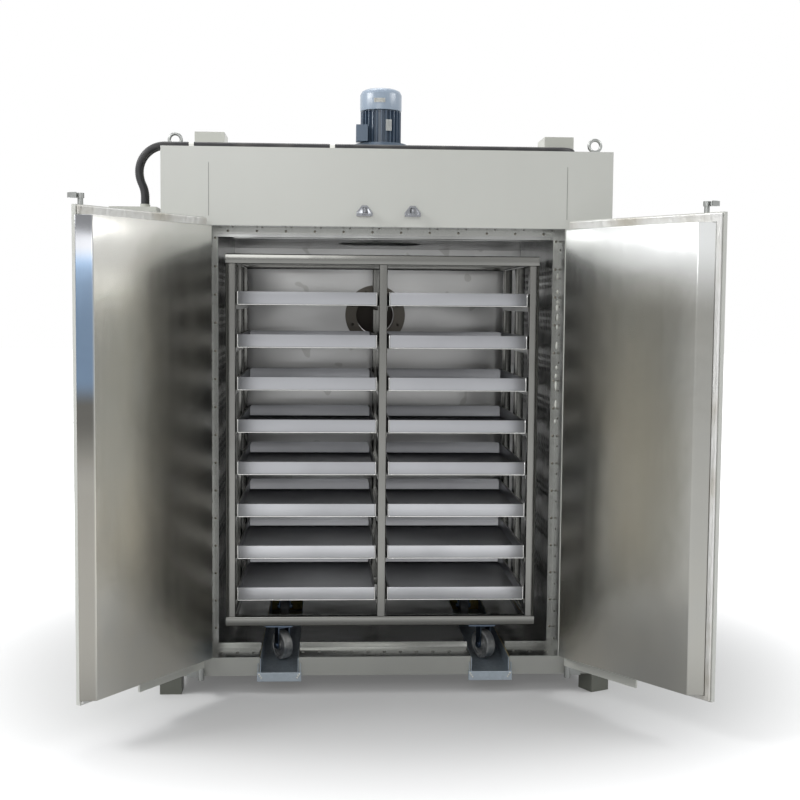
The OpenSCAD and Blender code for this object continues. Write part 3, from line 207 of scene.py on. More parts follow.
# Front and outer panels
# Folded steel sheet, sprayed with a light grey enamel that is half glossy
# and slightly rippled. The front sheets are darkened along their foot as
# painted shade.
class Coat(Finish):
    """A finish on the Principled shader of a new material."""

    def __init__(self, name):
        self.material = bpy.data.materials.new(name)
        self.material.use_nodes = True
        super().__init__(self.material.node_tree)
        self.shader = self.tree.nodes["Principled BSDF"]
        coords = self.tree.nodes.new("ShaderNodeTexCoord")
        self.place = Wire(self, coords.outputs["Object"])

    def along(self, axis):
        return self.node("ShaderNodeSeparateXYZ", {}, {0: self.place}, out=axis)

    def wear(self, scale, stretch=(1, 1, 1), detail=3.0, rough=0.5):
        put = self.node("ShaderNodeMapping", {}, {"Vector": self.place, "Scale": stretch})
        return self.node("ShaderNodeTexNoise", {}, {
            "Vector": put, "Scale": scale, "Detail": detail, "Roughness": rough})

    def exp(self, power):
        return self.node("ShaderNodeMath", {"operation": "EXPONENT"}, {0: power})

    def blend(self, amount, a, b):
        return self.node("ShaderNodeMix", {"data_type": "RGBA"}, {0: amount, 6: a, 7: b}, out=2)

    def step(self, value, low, high):
        return self.node("ShaderNodeMapRange", {"interpolation_type": "SMOOTHSTEP"}, {
            0: value, 1: low, 2: high, 3: 0.0, 4: 1.0})

    def relief(self, bump, depth, strength=1.0):
        return self.node("ShaderNodeBump", {}, {
            "Height": bump, "Distance": depth, "Strength": strength})

    def lay(self, **inputs):
        for key, value in inputs.items():
            socket = self.shader.inputs[key.replace("_", " ")]
            if isinstance(value, Wire):
                self.tree.links.new(value.socket, socket)
            else:
                socket.default_value = value
        return self.material


def rgb(r, g, b):
    """A colour read off a screen, as the shader wants it."""
    linear = [((c / 255 + 0.055) / 1.055) ** 2.4 if c > 10 else c / 255 / 12.92 for c in (r, g, b)]
    return (*linear, 1)


def darker(colour, share):
    """The colour with only a share of its light."""
    return (*[x * share for x in colour[:3]], 1)


def enamel(name, colour, dirt=0.25, gloss=0.34, low=0.0):
    """Sprayed enamel with patchy dirt, and painted shade darkening it under the height low."""
    c = Coat(name)
    cloud = c.wear(1.6, detail=4.0)
    runs = c.wear(5.0, stretch=(1, 1, 0.12), detail=3.0)
    soil = c.step(cloud * 0.6 + runs * 0.4, 0.42, 0.72) * dirt
    # painted shade: under the height low the enamel turns much darker
    if low:
        soil = soil + (1.0 - c.step(c.along("Z"), low, low + 0.02)) * (0.70 + cloud * 0.4)
    ripple = c.wear(240.0, detail=1.0)
    return c.lay(Base_Color=c.blend(soil, colour, darker(colour, 0.55 if low else 0.80)),
                 Roughness=gloss + (cloud - 0.5) * 0.14, Metallic=0.0,
                 Normal=c.relief(ripple, 0.00012, 0.35), Coat_Weight=0.25, Coat_Roughness=0.22)


def merged_copy(node):
    """The CAD piece's shape, its triangles joined into flat faces."""
    bm = bmesh.new()
    bm.from_mesh(nodes[node].data)
    bmesh.ops.remove_doubles(bm, verts=bm.verts, dist=1e-5)
    bmesh.ops.dissolve_limit(bm, angle_limit=math.radians(0.5), verts=bm.verts, edges=bm.edges)
    return bm


def as_object(name, bm, materials, angle=35):
    """The shape as an object, smooth except at edges sharper than angle."""
    mesh = bpy.data.meshes.new(name)
    bm.to_mesh(mesh)
    bm.free()
    mesh.shade_smooth()
    mesh.set_sharp_from_angle(angle=math.radians(angle))
    for material in materials:
        mesh.materials.append(material)
    obj = bpy.data.objects.new(name, mesh)
    bpy.context.collection.objects.link(obj)
    return obj


def dress(node, material, edge, steps=2, angle=35):
    """The CAD piece with rounded edges and its finish, standing for its node."""
    obj = as_object(node + "_skin", merged_copy(node), [material], angle)
    rounding = obj.modifiers.new("edges", "BEVEL")
    rounding.width, rounding.segments = edge, steps
    rounding.limit_method, rounding.angle_limit = "ANGLE", math.radians(angle)
    rounding.harden_normals = True
    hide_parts(node)
    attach(obj, body_of_node[node])


def finish_node(node, material):
    """A CAD piece that keeps its own mesh and gets its finish."""
    mesh = nodes[node].data
    mesh.materials.clear()
    mesh.materials.append(material)


body_grey = enamel("grey_enamel", rgb(193, 194, 188), dirt=0.16)
front_grey_painted_shade = enamel("front_enamel", rgb(193, 194, 188), dirt=0.10, low=0.130)
dress("front_panels", front_grey_painted_shade, 0.0016)
finish_node("outer_panels", body_grey)


# Header seams
# The two upright joints where the wide header sheet meets the corner sheets,
# drawn as thin dark strips on the face that are painted shade for the grooves.
def new_piece(name, bm, material, body, *stands_for, angle=35, slot=None):
    """A piece modelled here, on its body, standing for nodes; the slot argument is not used."""
    obj = as_object(name, bm, [material], angle)
    if stands_for:
        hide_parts(*stands_for)
    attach(obj, body)


def block(bm, centre, size):
    """A box added to the shape; its corners come back."""
    at = Matrix.LocRotScale(Vector(centre), None, Vector(size))
    return bmesh.ops.create_cube(bm, size=1, matrix=at)["verts"]


def header_seams():
    wide, deep, tall = 0.0016, 0.0006, 0.168
    header_y, header_z = -0.5001, 1.633
    groove_shade = enamel("seam_shadow", rgb(120, 121, 116), dirt=0.6, gloss=0.6)
    bm = bmesh.new()
    for x in (-0.572, 0.575):
        block(bm, (x, header_y, header_z), (wide, deep, tall))
    new_piece("header_seams", bm, groove_shade, "oven", slot="light_grey_paint")


header_seams()


# Heater covers and control box
# Folded covers over the heater ends on the roof, and the box with its door
# on the left side, in the same enamel a shade darker.
cover_grey = enamel("cover_enamel", rgb(182, 183, 175), dirt=0.3)
dress("heater_covers", cover_grey, 0.0022, 3)
dress("control_box", cover_grey, 0.0016)
dress("control_box_door", cover_grey, 0.002, 3)


# Dark base
# Welded square tube feet and a bottom pan, brushed over with a dark olive
# primer that has gone dull.
olive = enamel("dark_olive_primer", rgb(96, 98, 90), dirt=0.6, gloss=0.5)
dress("base_frame", olive, 0.0025, 3)


# Liner and recess trim
# Satin stainless sheet with faint rolling marks, wavy where it was folded or
# welded in; the back wall is duller, and folded strips trim the recess.
def stainless(name, colour, rough=0.26, grain=(1, 1, 30), wave=0.0010, wave_scale=5.0,
              stain=0.25, streak=0.06, foot=None):
    """Rolled or brushed sheet; foot is the colour painted in near the ground as painted light."""
    c = Coat(name)
    marks = c.wear(26.0, stretch=grain, detail=4.0, rough=0.6)
    waves = c.wear(wave_scale, detail=1.5)
    cloud = c.wear(3.0, detail=5.0)
    # painted light: below 0.85 m the colour turns towards foot, fully so under 0.30 m
    unstained_with_painted_light = c.blend(c.step(c.along("Z"), 0.30, 0.85), foot, colour) if foot else colour
    stained = c.blend(c.step(cloud, 0.42, 0.75) * stain, unstained_with_painted_light, darker(colour, 0.70))
    return c.lay(Base_Color=stained, Metallic=1.0,
                 Roughness=rough + (marks - 0.5) * streak + (cloud - 0.5) * 0.08,
                 Normal=c.relief(waves, wave))


def lining():
    """Liner sheet, wavy on the walls and duller on the back wall."""
    back_from, back_to = 0.36, 0.375
    c = Coat("liner_stainless")
    back = c.step(c.along("Y"), back_from, back_to)
    waves = c.wear(5.5, detail=1.5)
    broad = c.wear(2.4, stretch=(1, 1, 1.6), detail=0.5)
    cloud = c.wear(3.0, detail=5.0)
    rubbed = c.wear(13.0, detail=0.5)
    stain = c.step(cloud, 0.42, 0.75) * 0.5
    wall = c.blend(stain, rgb(150, 151, 150), rgb(118, 117, 112))
    rear = c.blend(c.step(rubbed, 0.68, 0.70) * 0.35, rgb(204, 204, 203), rgb(132, 130, 124))
    return c.lay(Base_Color=c.blend(back, wall, rear), Metallic=1.0,
                 Roughness=back * 0.10 + 0.22 + (cloud - 0.5) * 0.10,
                 Normal=c.relief(broad * back * 0.030 + waves * (1.0 - back) * 0.006, 1.0))


liner_sheet = lining()
trim_sheet = stainless("trim_stainless", rgb(150, 151, 148), 0.24, (1, 1, 20), 0.0020, 6.0)
finish_node("inner_liner", liner_sheet)
dress("opening_trim", trim_sheet, 0.0006)


# Trolley frame
# Square stainless tube, cut and welded, with thin folded runners for the
# trays; the tubes' long edges are rounder than those of the runners.
def solids(bm):
    """The corners of each of the separate solids in the shape."""
    seen = set()
    for first in bm.verts:
        if first in seen:
            continue
        seen.add(first)
        part, more = [], [first]
        while more:
            v = more.pop()
            part.append(v)
            fresh = [w for w in (e.other_vert(v) for e in v.link_edges) if w not in seen]
            seen.update(fresh)
            more += fresh
        yield part


def trolley():
    tube_round, sheet_round = 0.0035, 0.0004
    thinnest_tube, most_corners = 0.018, 24
    tube_metal = stainless("tube_stainless", rgb(116, 116, 113), 0.16, (14, 14, 1), 0.0012, 7.0)
    bm = merged_copy("trolley_frame")
    tubes, sheets = [], []
    for part in solids(bm):
        size = [max(v.co[i] for v in part) - min(v.co[i] for v in part) for i in range(3)]
        kind = tubes if min(size) > thinnest_tube and len(part) < most_corners else sheets
        kind += dict.fromkeys(
            e for v in part for e in v.link_edges
            if e.is_manifold and e.calc_face_angle(0) > 0.6 and e.calc_length() > max(size) * 0.9)
    for edges, width in ((tubes, tube_round), (sheets, sheet_round)):
        bmesh.ops.bevel(bm, geom=edges, offset=width, segments=3, profile=0.5,
                        affect="EDGES", clamp_overlap=True, material=-1)
    new_piece("trolley_tubes", bm, tube_metal, "trolley", "trolley_frame")


trolley()


# Exhaust port
# A steel tube with a welded ring flange on the back wall, brown with heat.
port_x, port_z = -0.010, 1.230
dress("exhaust_port", stainless("port_steel", rgb(112, 108, 101), 0.38, stain=0.7), 0.0008)


# Doors
# Each is a painted pan with a satin stainless plug that bulges between its
# folded edges. The plug's colour holds painted reflections of the yard and a
# painted highlight along its top.
def plug_sheet_painted_reflections(side):
    s, open_angle = (-1, 123.1) if side == "left" else (1, 124.8)
    hinge_x, hinge_y = s * 0.596, -0.534
    plug_low, plug_high, half_width = 0.149, 1.510, 0.33
    belly, fall, top_dip, foot_dip = 0.16, 14.0, 0.030, 0.003
    out_x, out_y = -s * math.cos(math.radians(open_angle)), -math.sin(math.radians(open_angle))
    c = Coat(side + "_plug_sheet")
    x, y, z = c.along("X"), c.along("Y"), c.along("Z")
    from_hinge = (x - hinge_x) * out_x + (y - hinge_y) * out_y
    marks = c.wear(30.0, stretch=(1, 1, 0.06), detail=4.0, rough=0.6)
    waves = c.wear(1.9, stretch=(1, 1, 0.7), detail=1.0)
    dents = c.wear(7.0, detail=2.0)
    cloud = c.wear(2.2, detail=5.0)
    from_middle = from_hinge - half_width
    top = c.exp((z - plug_high) * fall) * top_dip
    foot = c.exp((plug_low - z) * fall) * foot_dip
    bulge = 0.0 - from_middle * from_middle * belly - top - foot + waves * 0.012 + dents * 0.0012
    sheet = c.blend(c.step(cloud, 0.22, 0.78), rgb(178, 179, 176), rgb(188, 184, 173))
    # painted highlight: the plug turns near white towards its top
    top_highlight_mask = c.step(z, 1.24, 1.47)
    if side == "left":
        # painted reflection: the outer strip of the left plug takes grey, dark and blue bands of the yard
        # it mirrors
        strip_reflection_low = c.blend(c.step(z, 0.76, 0.95), rgb(120, 118, 112), rgb(52, 50, 46))
        strip_reflection_high = c.blend(c.step(z, 1.37, 1.43), rgb(80, 106, 134), rgb(112, 114, 120))
        strip = c.blend(c.step(z, 0.98, 1.06), strip_reflection_low, strip_reflection_high)
        # painted highlight along the top of the left plug
        sheet = c.blend(top_highlight_mask * 0.35, sheet, rgb(232, 234, 234))
        sheet = c.blend(c.step(from_hinge, 0.552, 0.560) * 0.85, sheet, strip)
    else:
        # painted reflection: away from the hinge the right plug is darkened where it mirrors a dark part
        # of the yard
        sheet = c.blend(c.step(from_hinge, 0.10, 0.50) * 0.75, sheet, rgb(126, 126, 122))
        # painted highlight along the top of the right plug
        sheet = c.blend(top_highlight_mask * 0.85, sheet, rgb(236, 238, 238))
    return c.lay(Base_Color=sheet, Metallic=1.0,
                 Roughness=0.23 + (marks - 0.5) * 0.10 + (cloud - 0.5) * 0.08,
                 Normal=c.relief(bulge, 1.0))


for side in ("left", "right"):
    dress(side + "_door_plug", plug_sheet_painted_reflections(side), 0.0025, 3)
    dress(side + "_door_shell", body_grey, 0.0018)


# Trays
# Sixteen drying trays pressed from thin satin stainless sheet, with a flat
# rim that is hemmed downward and corners folded and welded.
# The lower trays are painted lighter as painted light, where they mirror the shaded floor.
tray_sheet_painted_light = stainless("tray_stainless", rgb(143, 144, 147), 0.30, (30, 1, 1), 0.0009, 9.0,
                       stain=0.35, foot=rgb(186, 187, 190))
# painted highlight: the front folds are the tray sheet coloured much lighter
hem_sheet_painted_highlight = stainless("tray_hem", rgb(214, 214, 212), 0.26, (30, 1, 1), 0.0004, 9.0, stain=0.2)


def pressed_shell(bm, low, high):
    """The open pan inside the box from low to high, with its inward rim."""
    sheet, hem, lip, corner = 0.0012, 0.006, 0.003, 0.003
    inset = Vector((sheet + 0.0006, sheet + 0.0006, sheet))
    a, b = Vector(low) + inset, Vector(high) - inset
    centre = (a + b) / 2
    block(bm, centre, b - a)
    bmesh.ops.delete(bm, geom=[f for f in bm.faces if f.normal.z > 0.9], context="FACES_ONLY")
    folds = [e for e in bm.edges if not e.is_boundary]
    bmesh.ops.bevel(bm, geom=folds, offset=corner, segments=2, profile=0.5, affect="EDGES", material=-1)
    for sideways, down in ((hem, 0), (0, lip)):
        rim = [e for e in bm.edges if e.is_boundary]
        for v in bmesh.ops.extrude_edge_only(bm, edges=rim)["geom"]:
            if isinstance(v, bmesh.types.BMVert):
                v.co.x -= math.copysign(sideways, v.co.x - centre.x)
                v.co.y -= math.copysign(sideways, v.co.y - centre.y)
                v.co.z -= down
    bmesh.ops.recalc_face_normals(bm, faces=bm.faces)
    bmesh.ops.solidify(bm, geom=bm.faces[:], thickness=sheet)


def front_folds(bm, low, high):
    """The folded edges round the tray's front, in the second finish, a lighter copy of the tray sheet
    that is a painted highlight.
    """
    deep, wide, tall = 0.0022, 0.0026, 0.0028
    middle_x, middle_z = (low[0] + high[0]) / 2, (low[2] + high[2]) / 2
    for x, z, across, up in ((middle_x, low[2] + tall / 2, high[0] - low[0], tall),
                             (low[0] + wide / 2, middle_z, wide, high[2] - low[2]),
                             (high[0] - wide / 2, middle_z, wide, high[2] - low[2])):
        fold = block(bm, (x, low[1] + deep / 2, z), (across, deep, up))
        for f in {f for v in fold for f in v.link_faces}:
            f.material_index = 1
        edges = list(dict.fromkeys(e for v in fold for e in v.link_edges))
        bmesh.ops.bevel(bm, geom=edges, offset=0.0007, segments=1, profile=0.5,
                        affect="EDGES", material=-1)


def tray(node):
    low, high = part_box(node)
    bm = bmesh.new()
    pressed_shell(bm, low, high)
    front_folds(bm, low, high)
    bmesh.ops.recalc_face_normals(bm, faces=bm.faces)
    for v in bm.verts:
        for i in range(3):
            v.co[i] = min(max(v.co[i], low[i]), high[i])
    obj = as_object(node + "_pressed", bm, [tray_sheet_painted_light, hem_sheet_painted_highlight], 40)
    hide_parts(node)
    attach(obj, body_of_node[node])


for side in ("left", "right"):
    for level in range(1, 9):
        tray("tray_%s_%d" % (side, level))


# Duct panels and ceiling
# Slotted stainless walls behind which the hot air rises, with three rows of
# punched slots at each tray, and a ceiling sheet with the round fan inlet.
wall_x, front_y, rear_y, ceiling, thick = 0.552, -0.378, 0.380, 1.487, 0.002
motor_x, motor_y = -0.010, -0.050


def slot_edges():
    """Where the slots begin and end along y and z, with the sheet's own edges."""
    pitch, wide, tall, margin = 0.034, 0.018, 0.013, 0.020
    top_tray, tray_pitch, first_row, row_gap = 1.3125, 0.1409, 0.018, 0.0225
    ys, zs = [front_y], [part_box("air_panels")[0][2]]
    for j in range(int((rear_y - front_y - 0.03) / pitch)):
        start = front_y + margin + j * pitch
        ys += [start, start + wide]
    for level in range(7, -1, -1):
        for row in range(3):
            base = top_tray - level * tray_pitch + first_row + row * row_gap
            zs += [base, base + tall]
    return ys + [rear_y], zs + [ceiling]


def slotted_walls(bm):
    """Both side walls, each a sheet with leaning slots."""
    lean = 0.012
    ys, zs = slot_edges()
    last_y, last_z = len(ys) - 1, len(zs) - 1
    for s in (-1, 1):
        made = bmesh.ops.create_grid(bm, x_segments=last_y, y_segments=last_z, size=1)["verts"]
        for v in made:
            j, k = round((v.co.x + 1) / 2 * last_y), round((v.co.y + 1) / 2 * last_z)
            inside = 0 < j < last_y and 0 < k < last_z
            tilt = (lean if k % 2 else -lean) if inside else 0
            v.co = (s * wall_x, ys[j] + tilt / 2, zs[k])
        gone = []
        for f in dict.fromkeys(f for v in made for f in v.link_faces):
            middle = f.calc_center_median()
            if sum(y < middle.y for y in ys) % 2 == 0 and sum(z < middle.z for z in zs) % 2 == 0:
                gone.append(f)
        bmesh.ops.delete(bm, geom=gone, context="FACES")
    bmesh.ops.recalc_face_normals(bm, faces=bm.faces)
    bmesh.ops.solidify(bm, geom=bm.faces[:], thickness=thick)
    for v in bm.verts:
        inner_side = abs(abs(v.co.x) - wall_x) < 0.0001
        v.co.x = math.copysign(wall_x if inner_side else wall_x + thick, v.co.x)


def ceiling_sheet(bm):
    """The flat ceiling with a round hole under the fan, and its front strip."""
    inlet_radius, rough_radius, strip_z, strip_tall = 0.147, 0.300, 1.494, 0.010
    around = Matrix.Translation((motor_x, motor_y, ceiling))
    inner, outer = [bmesh.ops.create_circle(bm, segments=64, radius=radius, matrix=around)["verts"]
                    for radius in (inlet_radius, rough_radius)]
    rims = [e for v in inner + outer for e in v.link_edges]
    ring = bmesh.ops.bridge_loops(bm, edges=list(dict.fromkeys(rims)))["faces"]
    for v in outer:
        across, along = v.co.x - motor_x, v.co.y - motor_y
        to_wall = wall_x + math.copysign(motor_x, across)
        to_end = rear_y - motor_y if along > 0 else motor_y - front_y
        reach = min(to_wall / max(abs(across), 1e-6), to_end / max(abs(along), 1e-6))
        v.co.x, v.co.y = motor_x + across * reach, motor_y + along * reach
    bmesh.ops.recalc_face_normals(bm, faces=ring)
    bmesh.ops.solidify(bm, geom=ring, thickness=thick)
    bmesh.ops.recalc_face_normals(bm, faces=bm.faces)
    block(bm, (0, front_y + thick / 2, strip_z), (2 * wall_x, thick, strip_tall))


def duct_panels():
    bm = bmesh.new()
    slotted_walls(bm)
    ceiling_sheet(bm)
    new_piece("slotted_ducts", bm, liner_sheet, "oven", "air_panels")


duct_panels()


# Recess rivets
# Steel blind rivets along the recess and its flange, dull with heat, and a
# row of brighter ones in the sill between the wheel tracks.
rivet_steel = stainless("rivet_steel", rgb(196, 196, 190), 0.30)
dark_rivet = stainless("dark_rivet", rgb(112, 108, 100), 0.38)


def studs(name, places, radius, rise, material, slot, segments=10):
    """Low round heads at places, each with its outward direction."""
    crown = radius * 0.62
    bm = bmesh.new()
    for spot, out in places:
        turn = Vector(out).to_track_quat("Z", "Y").to_matrix().to_4x4()
        at = Matrix.Translation(spot) @ turn
        bmesh.ops.create_cone(bm, cap_ends=True, segments=segments, radius1=radius, radius2=crown,
                              depth=rise, matrix=at @ Matrix.Translation((0, 0, rise / 2)))
    new_piece(name, bm, material, "oven", angle=60, slot=slot)


def rivets():
    flange_x, flange_y, flange_z = 0.5615, -0.382, 1.5085
    side_x, side_y, top_y, top_z, sill_z = 0.569, -0.425, -0.440, 1.518, 0.121
    upright_pitch, across_pitch, sill_pitch = 0.0925, 0.0945, 0.054
    dark, light = [], []
    for s in (-1, 1):
        for i in range(15):
            z = 0.19 + i * upright_pitch
            dark.append(((s * flange_x, flange_y, z), (0, -1, 0)))
            dark.append(((s * side_x, side_y, z - 0.03), (-s, 0, 0)))
    for i in range(12):
        dark.append(((-0.52 + i * across_pitch, flange_y, flange_z), (0, -1, 0)))
        dark.append(((-0.50 + i * across_pitch, top_y, top_z), (0, 0, -1)))
    for i in range(21):
        x = -0.54 + i * sill_pitch
        over_track = 0.275 < abs(x) < 0.417
        if not over_track:
            light.append(((x, top_y, sill_z), (0, 0, 1)))
    studs("recess_rivets", dark, 0.0042, 0.0016, dark_rivet, "trim_stainless")
    studs("sill_rivets", light, 0.0062, 0.0018, rivet_steel, "trim_stainless", 12)


rivets()


# Sealant
# White silicone paste pressed into the joint beside the right wall, in short
# uneven beads.
def sealant():
    joint_x, joint_y, top_z, low_z = 0.5688, -0.381, 1.37, 0.88
    half_wide, half_deep = 0.0042, 0.006
    rng = random.Random(7)
    c = Coat("white_sealant")
    lump = c.wear(60.0, detail=3.0)
    white_paste = c.lay(Base_Color=c.blend(lump, rgb(222, 222, 216), rgb(200, 200, 194)), Roughness=0.45,
                        Normal=c.relief(lump, 0.001, 0.6))
    bm = bmesh.new()
    z = top_z
    while z > low_z:
        tall = rng.uniform(0.012, 0.040)
        at = Matrix.LocRotScale(Vector((joint_x, joint_y - rng.uniform(0.002, 0.012), z)), None,
                                Vector((half_wide, half_deep, tall / 2)))
        bmesh.ops.create_icosphere(bm, subdivisions=2, radius=1, matrix=at)
        z -= tall + rng.uniform(0.004, 0.045)
    new_piece("sealant_beads", bm, white_paste, "oven", angle=180, slot="gasket_rubber")


sealant()


# Exhaust ring screws
# Eight round-headed steel screws that hold the ring flange to the back wall.
def ring_of_spots(radius, y, out_y):
    """Eight places round the exhaust port, half a step off the axes."""
    angles = [math.radians(i * 45 + 22.5) for i in range(8)]
    return [((port_x + radius * math.cos(a), y, port_z + radius * math.sin(a)), (0, out_y, 0))
            for a in angles]


studs("port_screws", ring_of_spots(0.09475, 0.378, -1), 0.0052, 0.003, dark_rivet, "heater_steel", 12)


# Panel rivets
# The side and back sheets are closed with painted blind rivets along their
# edges, and the exhaust flange behind is held with bright screws.
def panel_rivets():
    side_x, back_y, low_z, high_z = 0.723, 0.500, 0.096, 1.748
    edge_x, edge_y = 0.704, 0.481
    upright_pitch, back_pitch, side_pitch = 0.222, 0.224, 0.18
    spots = []
    for i in range(8):
        z = 0.16 + i * upright_pitch
        spots += [((x, back_y, z), (0, 1, 0)) for x in (-edge_x, edge_x)]
        spots += [((s * side_x, y, z), (s, 0, 0)) for y in (-edge_y, edge_y) for s in (-1, 1)]
    for i in range(6):
        x = -0.56 + i * back_pitch
        spots += [((x, back_y, z), (0, 1, 0)) for z in (low_z, high_z)]
    for i in range(5):
        y = -0.36 + i * side_pitch
        spots += [((s * side_x, y, z), (s, 0, 0)) for z in (low_z, high_z) for s in (-1, 1)]
    studs("panel_rivets", spots, 0.0042, 0.0014, body_grey, "light_grey_paint")


panel_rivets()
studs("flange_screws", ring_of_spots(0.0955, 0.502, 1), 0.0056, 0.0034, rivet_steel, "heater_steel", 12)


# Exhaust damper
# A round steel blade on a spindle that closes the exhaust tube, coloured
# dark as painted shade for the inside of the tube.
def damper():
    blade_y, blade_radius, blade_thick = 0.440, 0.0725, 0.002
    spindle_radius, spindle_long = 0.004, 0.1455
    tube_shade_steel = stainless("damper_steel", rgb(74, 70, 66), 0.45, (1, 1, 3), 0.0006, 20.0, stain=0.8)
    bm = bmesh.new()
    at = Matrix.Translation((port_x, blade_y, port_z))
    bmesh.ops.create_cone(bm, cap_ends=True, segments=48, radius1=blade_radius, radius2=blade_radius,
                          depth=blade_thick, matrix=at @ Matrix.Rotation(math.pi / 2, 4, "X"))
    bmesh.ops.create_cone(bm, cap_ends=True, segments=16, radius1=spindle_radius, radius2=spindle_radius,
                          depth=spindle_long, matrix=at @ Matrix.Translation((0, -spindle_radius, 0)))
    new_piece("exhaust_damper", bm, tube_shade_steel, "oven", slot="heater_steel")


damper()


# Wheel tracks
# Galvanised channels folded from sheet, let into the floor, with flared
# cheeks and a drop lip welded on at the front of the sill.
track_x = 0.346


def galvanised():
    c = Coat("galvanised")
    spangle = c.node("ShaderNodeTexVoronoi", {"feature": "F1"}, {"Vector": c.place, "Scale": 90.0}, out=1)
    tone = c.node("ShaderNodeRGBToBW", {}, {0: spangle})
    cloud = c.wear(9.0, detail=4.0)
    return c.lay(Base_Color=c.blend(tone * 0.35 + cloud * 0.5, rgb(176, 186, 194), rgb(140, 150, 160)),
                 Metallic=0.85, Roughness=0.34 + tone * 0.12, Normal=c.relief(cloud, 0.001, 0.4))


def track_flares():
    """A cheek at each side of both tracks, turned outward at its front end."""
    cheek_x, cheek_y, cheek_z = 0.0608, -0.4885, 0.0925
    cheek_size = (0.0016, 0.038, 0.044)
    flare, top_drop, foot_drop = 0.0085, 0.014, 0.004
    bm = bmesh.new()
    for s in (-1, 1):
        for t in (-1, 1):
            for v in block(bm, (s * track_x + t * cheek_x, cheek_y, cheek_z), cheek_size):
                if v.co.y < cheek_y:
                    v.co.x += t * flare
                    v.co.z -= top_drop if v.co.z > cheek_z else foot_drop
    new_piece("track_flares", bm, zinc, "oven", slot="galvanised_steel")


def lip_welds():
    """Three weld spots at each corner of both drop lips."""
    lip_y, first_x, first_z, step_in, step_down = -0.508, 0.066, 0.066, 0.004, 0.006
    spots = []
    for s in (-1, 1):
        for t in (-1, 1):
            for k in range(3):
                x, z = s * track_x + t * (first_x - step_in * k), first_z - step_down * k
                spots.append(((x, lip_y, z), (0, -1, 0)))
    studs("lip_welds", spots, 0.0032, 0.0015, rivet_steel, "galvanised_steel")


zinc = galvanised()
dress("track_channels", zinc, 0.0012)
track_flares()
lip_welds()


# Hinges, rods and keepers
# Lift-off hinges turned from bar and welded to plates, and round lock rods,
# zinc plated and a little dull; the keeper plates and rollers are chromed.
plated = stainless("plated_steel", rgb(150, 152, 150), 0.36, (20, 20, 1), 0.0006, 20.0)
chrome = stainless("keeper_chrome", rgb(134, 136, 140), 0.16, (1, 1, 1), 0.0003, 40.0,
                   stain=0.15, streak=0.04)
dress("cabinet_hinges", plated, 0.0012)
dress("latch_keepers", chrome, 0.0010)
for side in ("left", "right"):
    dress(side + "_lock_rod", plated, 0.0008)
    dress(side + "_keeper_roller", chrome, 0.0014, 3)


# Handles and switch
# The lever grips and the rotary main switch are moulded in black plastic
# with a fine matt texture.
def moulded(name, colour, rough=0.48):
    c = Coat(name)
    skin = c.wear(420.0, detail=2.0)
    cloud = c.wear(12.0, detail=3.0)
    lighter = (*[min(1, x * 1.5 + 0.008) for x in colour[:3]], 1)
    return c.lay(Base_Color=c.blend(cloud * 0.5, colour, lighter), Roughness=rough + (cloud - 0.5) * 0.2,
                 Normal=c.relief(skin, 0.0002, 0.5))


black_grip = moulded("black_plastic", rgb(38, 38, 40))
for side in ("left", "right"):
    dress(side + "_door_handle", black_grip, 0.003, 3)
dress("main_switch", black_grip, 0.002, 3)


# Casters
# Pressed steel forks, passivated dark: a swivel pair in front and a fixed
# pair behind, bolted to the trolley frame.
fork_metal = stainless("fork_steel", rgb(96, 108, 124), 0.34, (1, 1, 8), 0.0008, 22.0, stain=0.6)
for side in ("left", "right"):
    dress("front_%s_caster" % side, fork_metal, 0.0014, 3)
dress("caster_mounts", fork_metal, 0.0012, 3)


# Wheels
# Hard grey wheels, cast in one piece with their hubs, dusty on the tread.
def tread():
    c = Coat("wheel_grey")
    dust = c.wear(30.0, detail=5.0)
    return c.lay(Base_Color=c.blend(c.step(dust, 0.35, 0.7), rgb(92, 94, 96), rgb(150, 150, 148)),
                 Roughness=0.55, Metallic=0.35, Normal=c.relief(dust, 0.0008, 0.5))


wheel_grey = tread()
for node in ("front_left_wheel", "front_right_wheel", "rear_left_wheel", "rear_right_wheel"):
    dress(node, wheel_grey, 0.004, 4)


# Fan motor
# A finned cast body in dark blue-grey enamel with a pale pressed cowl, a
# terminal box and a short conduit elbow.
motor_paint = enamel("motor_enamel", rgb(70, 86, 104), dirt=0.4, gloss=0.38)
cowl_paint = enamel("cowl_enamel", rgb(138, 152, 168), dirt=0.4, gloss=0.3)
dress("fan_motor", motor_paint, 0.0008)
dress("motor_cowl", cowl_paint, 0.0012, 3, angle=50)


# Motor plates
# Two blank aluminium plates, bent round the cowl and the finned body and
# riveted on.
def bare_plate(name, radius, angle, wide, tall, z, face):
    thin = 0.0008
    c = Coat(name)
    rub = c.wear(40.0, detail=3.0)
    metal = c.lay(Base_Color=c.blend(rub, face, darker(face, 0.8)), Roughness=0.42, Metallic=0.3)
    bm = bmesh.new()
    bmesh.ops.create_grid(bm, x_segments=8, y_segments=1, size=0.5)
    for v in bm.verts:
        a = math.radians(angle) + v.co.x * wide / radius
        v.co = (motor_x + radius * math.sin(a), motor_y - radius * math.cos(a), z + v.co.y * tall)
    bmesh.ops.solidify(bm, geom=bm.faces[:], thickness=-thin)
    bmesh.ops.recalc_face_normals(bm, faces=bm.faces)
    new_piece(name, bm, metal, "oven", slot="cowl_paint")


cowl_low, cowl_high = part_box("motor_cowl")
cowl_radius, body_radius = (cowl_high[0] - cowl_low[0]) / 2 + 0.0006, 0.0745
bare_plate("cowl_plate", cowl_radius, -6, 0.040, 0.014, 1.978, rgb(226, 226, 220))
bare_plate("rating_plate", body_radius, 20, 0.022, 0.038, 1.893, rgb(222, 224, 222))


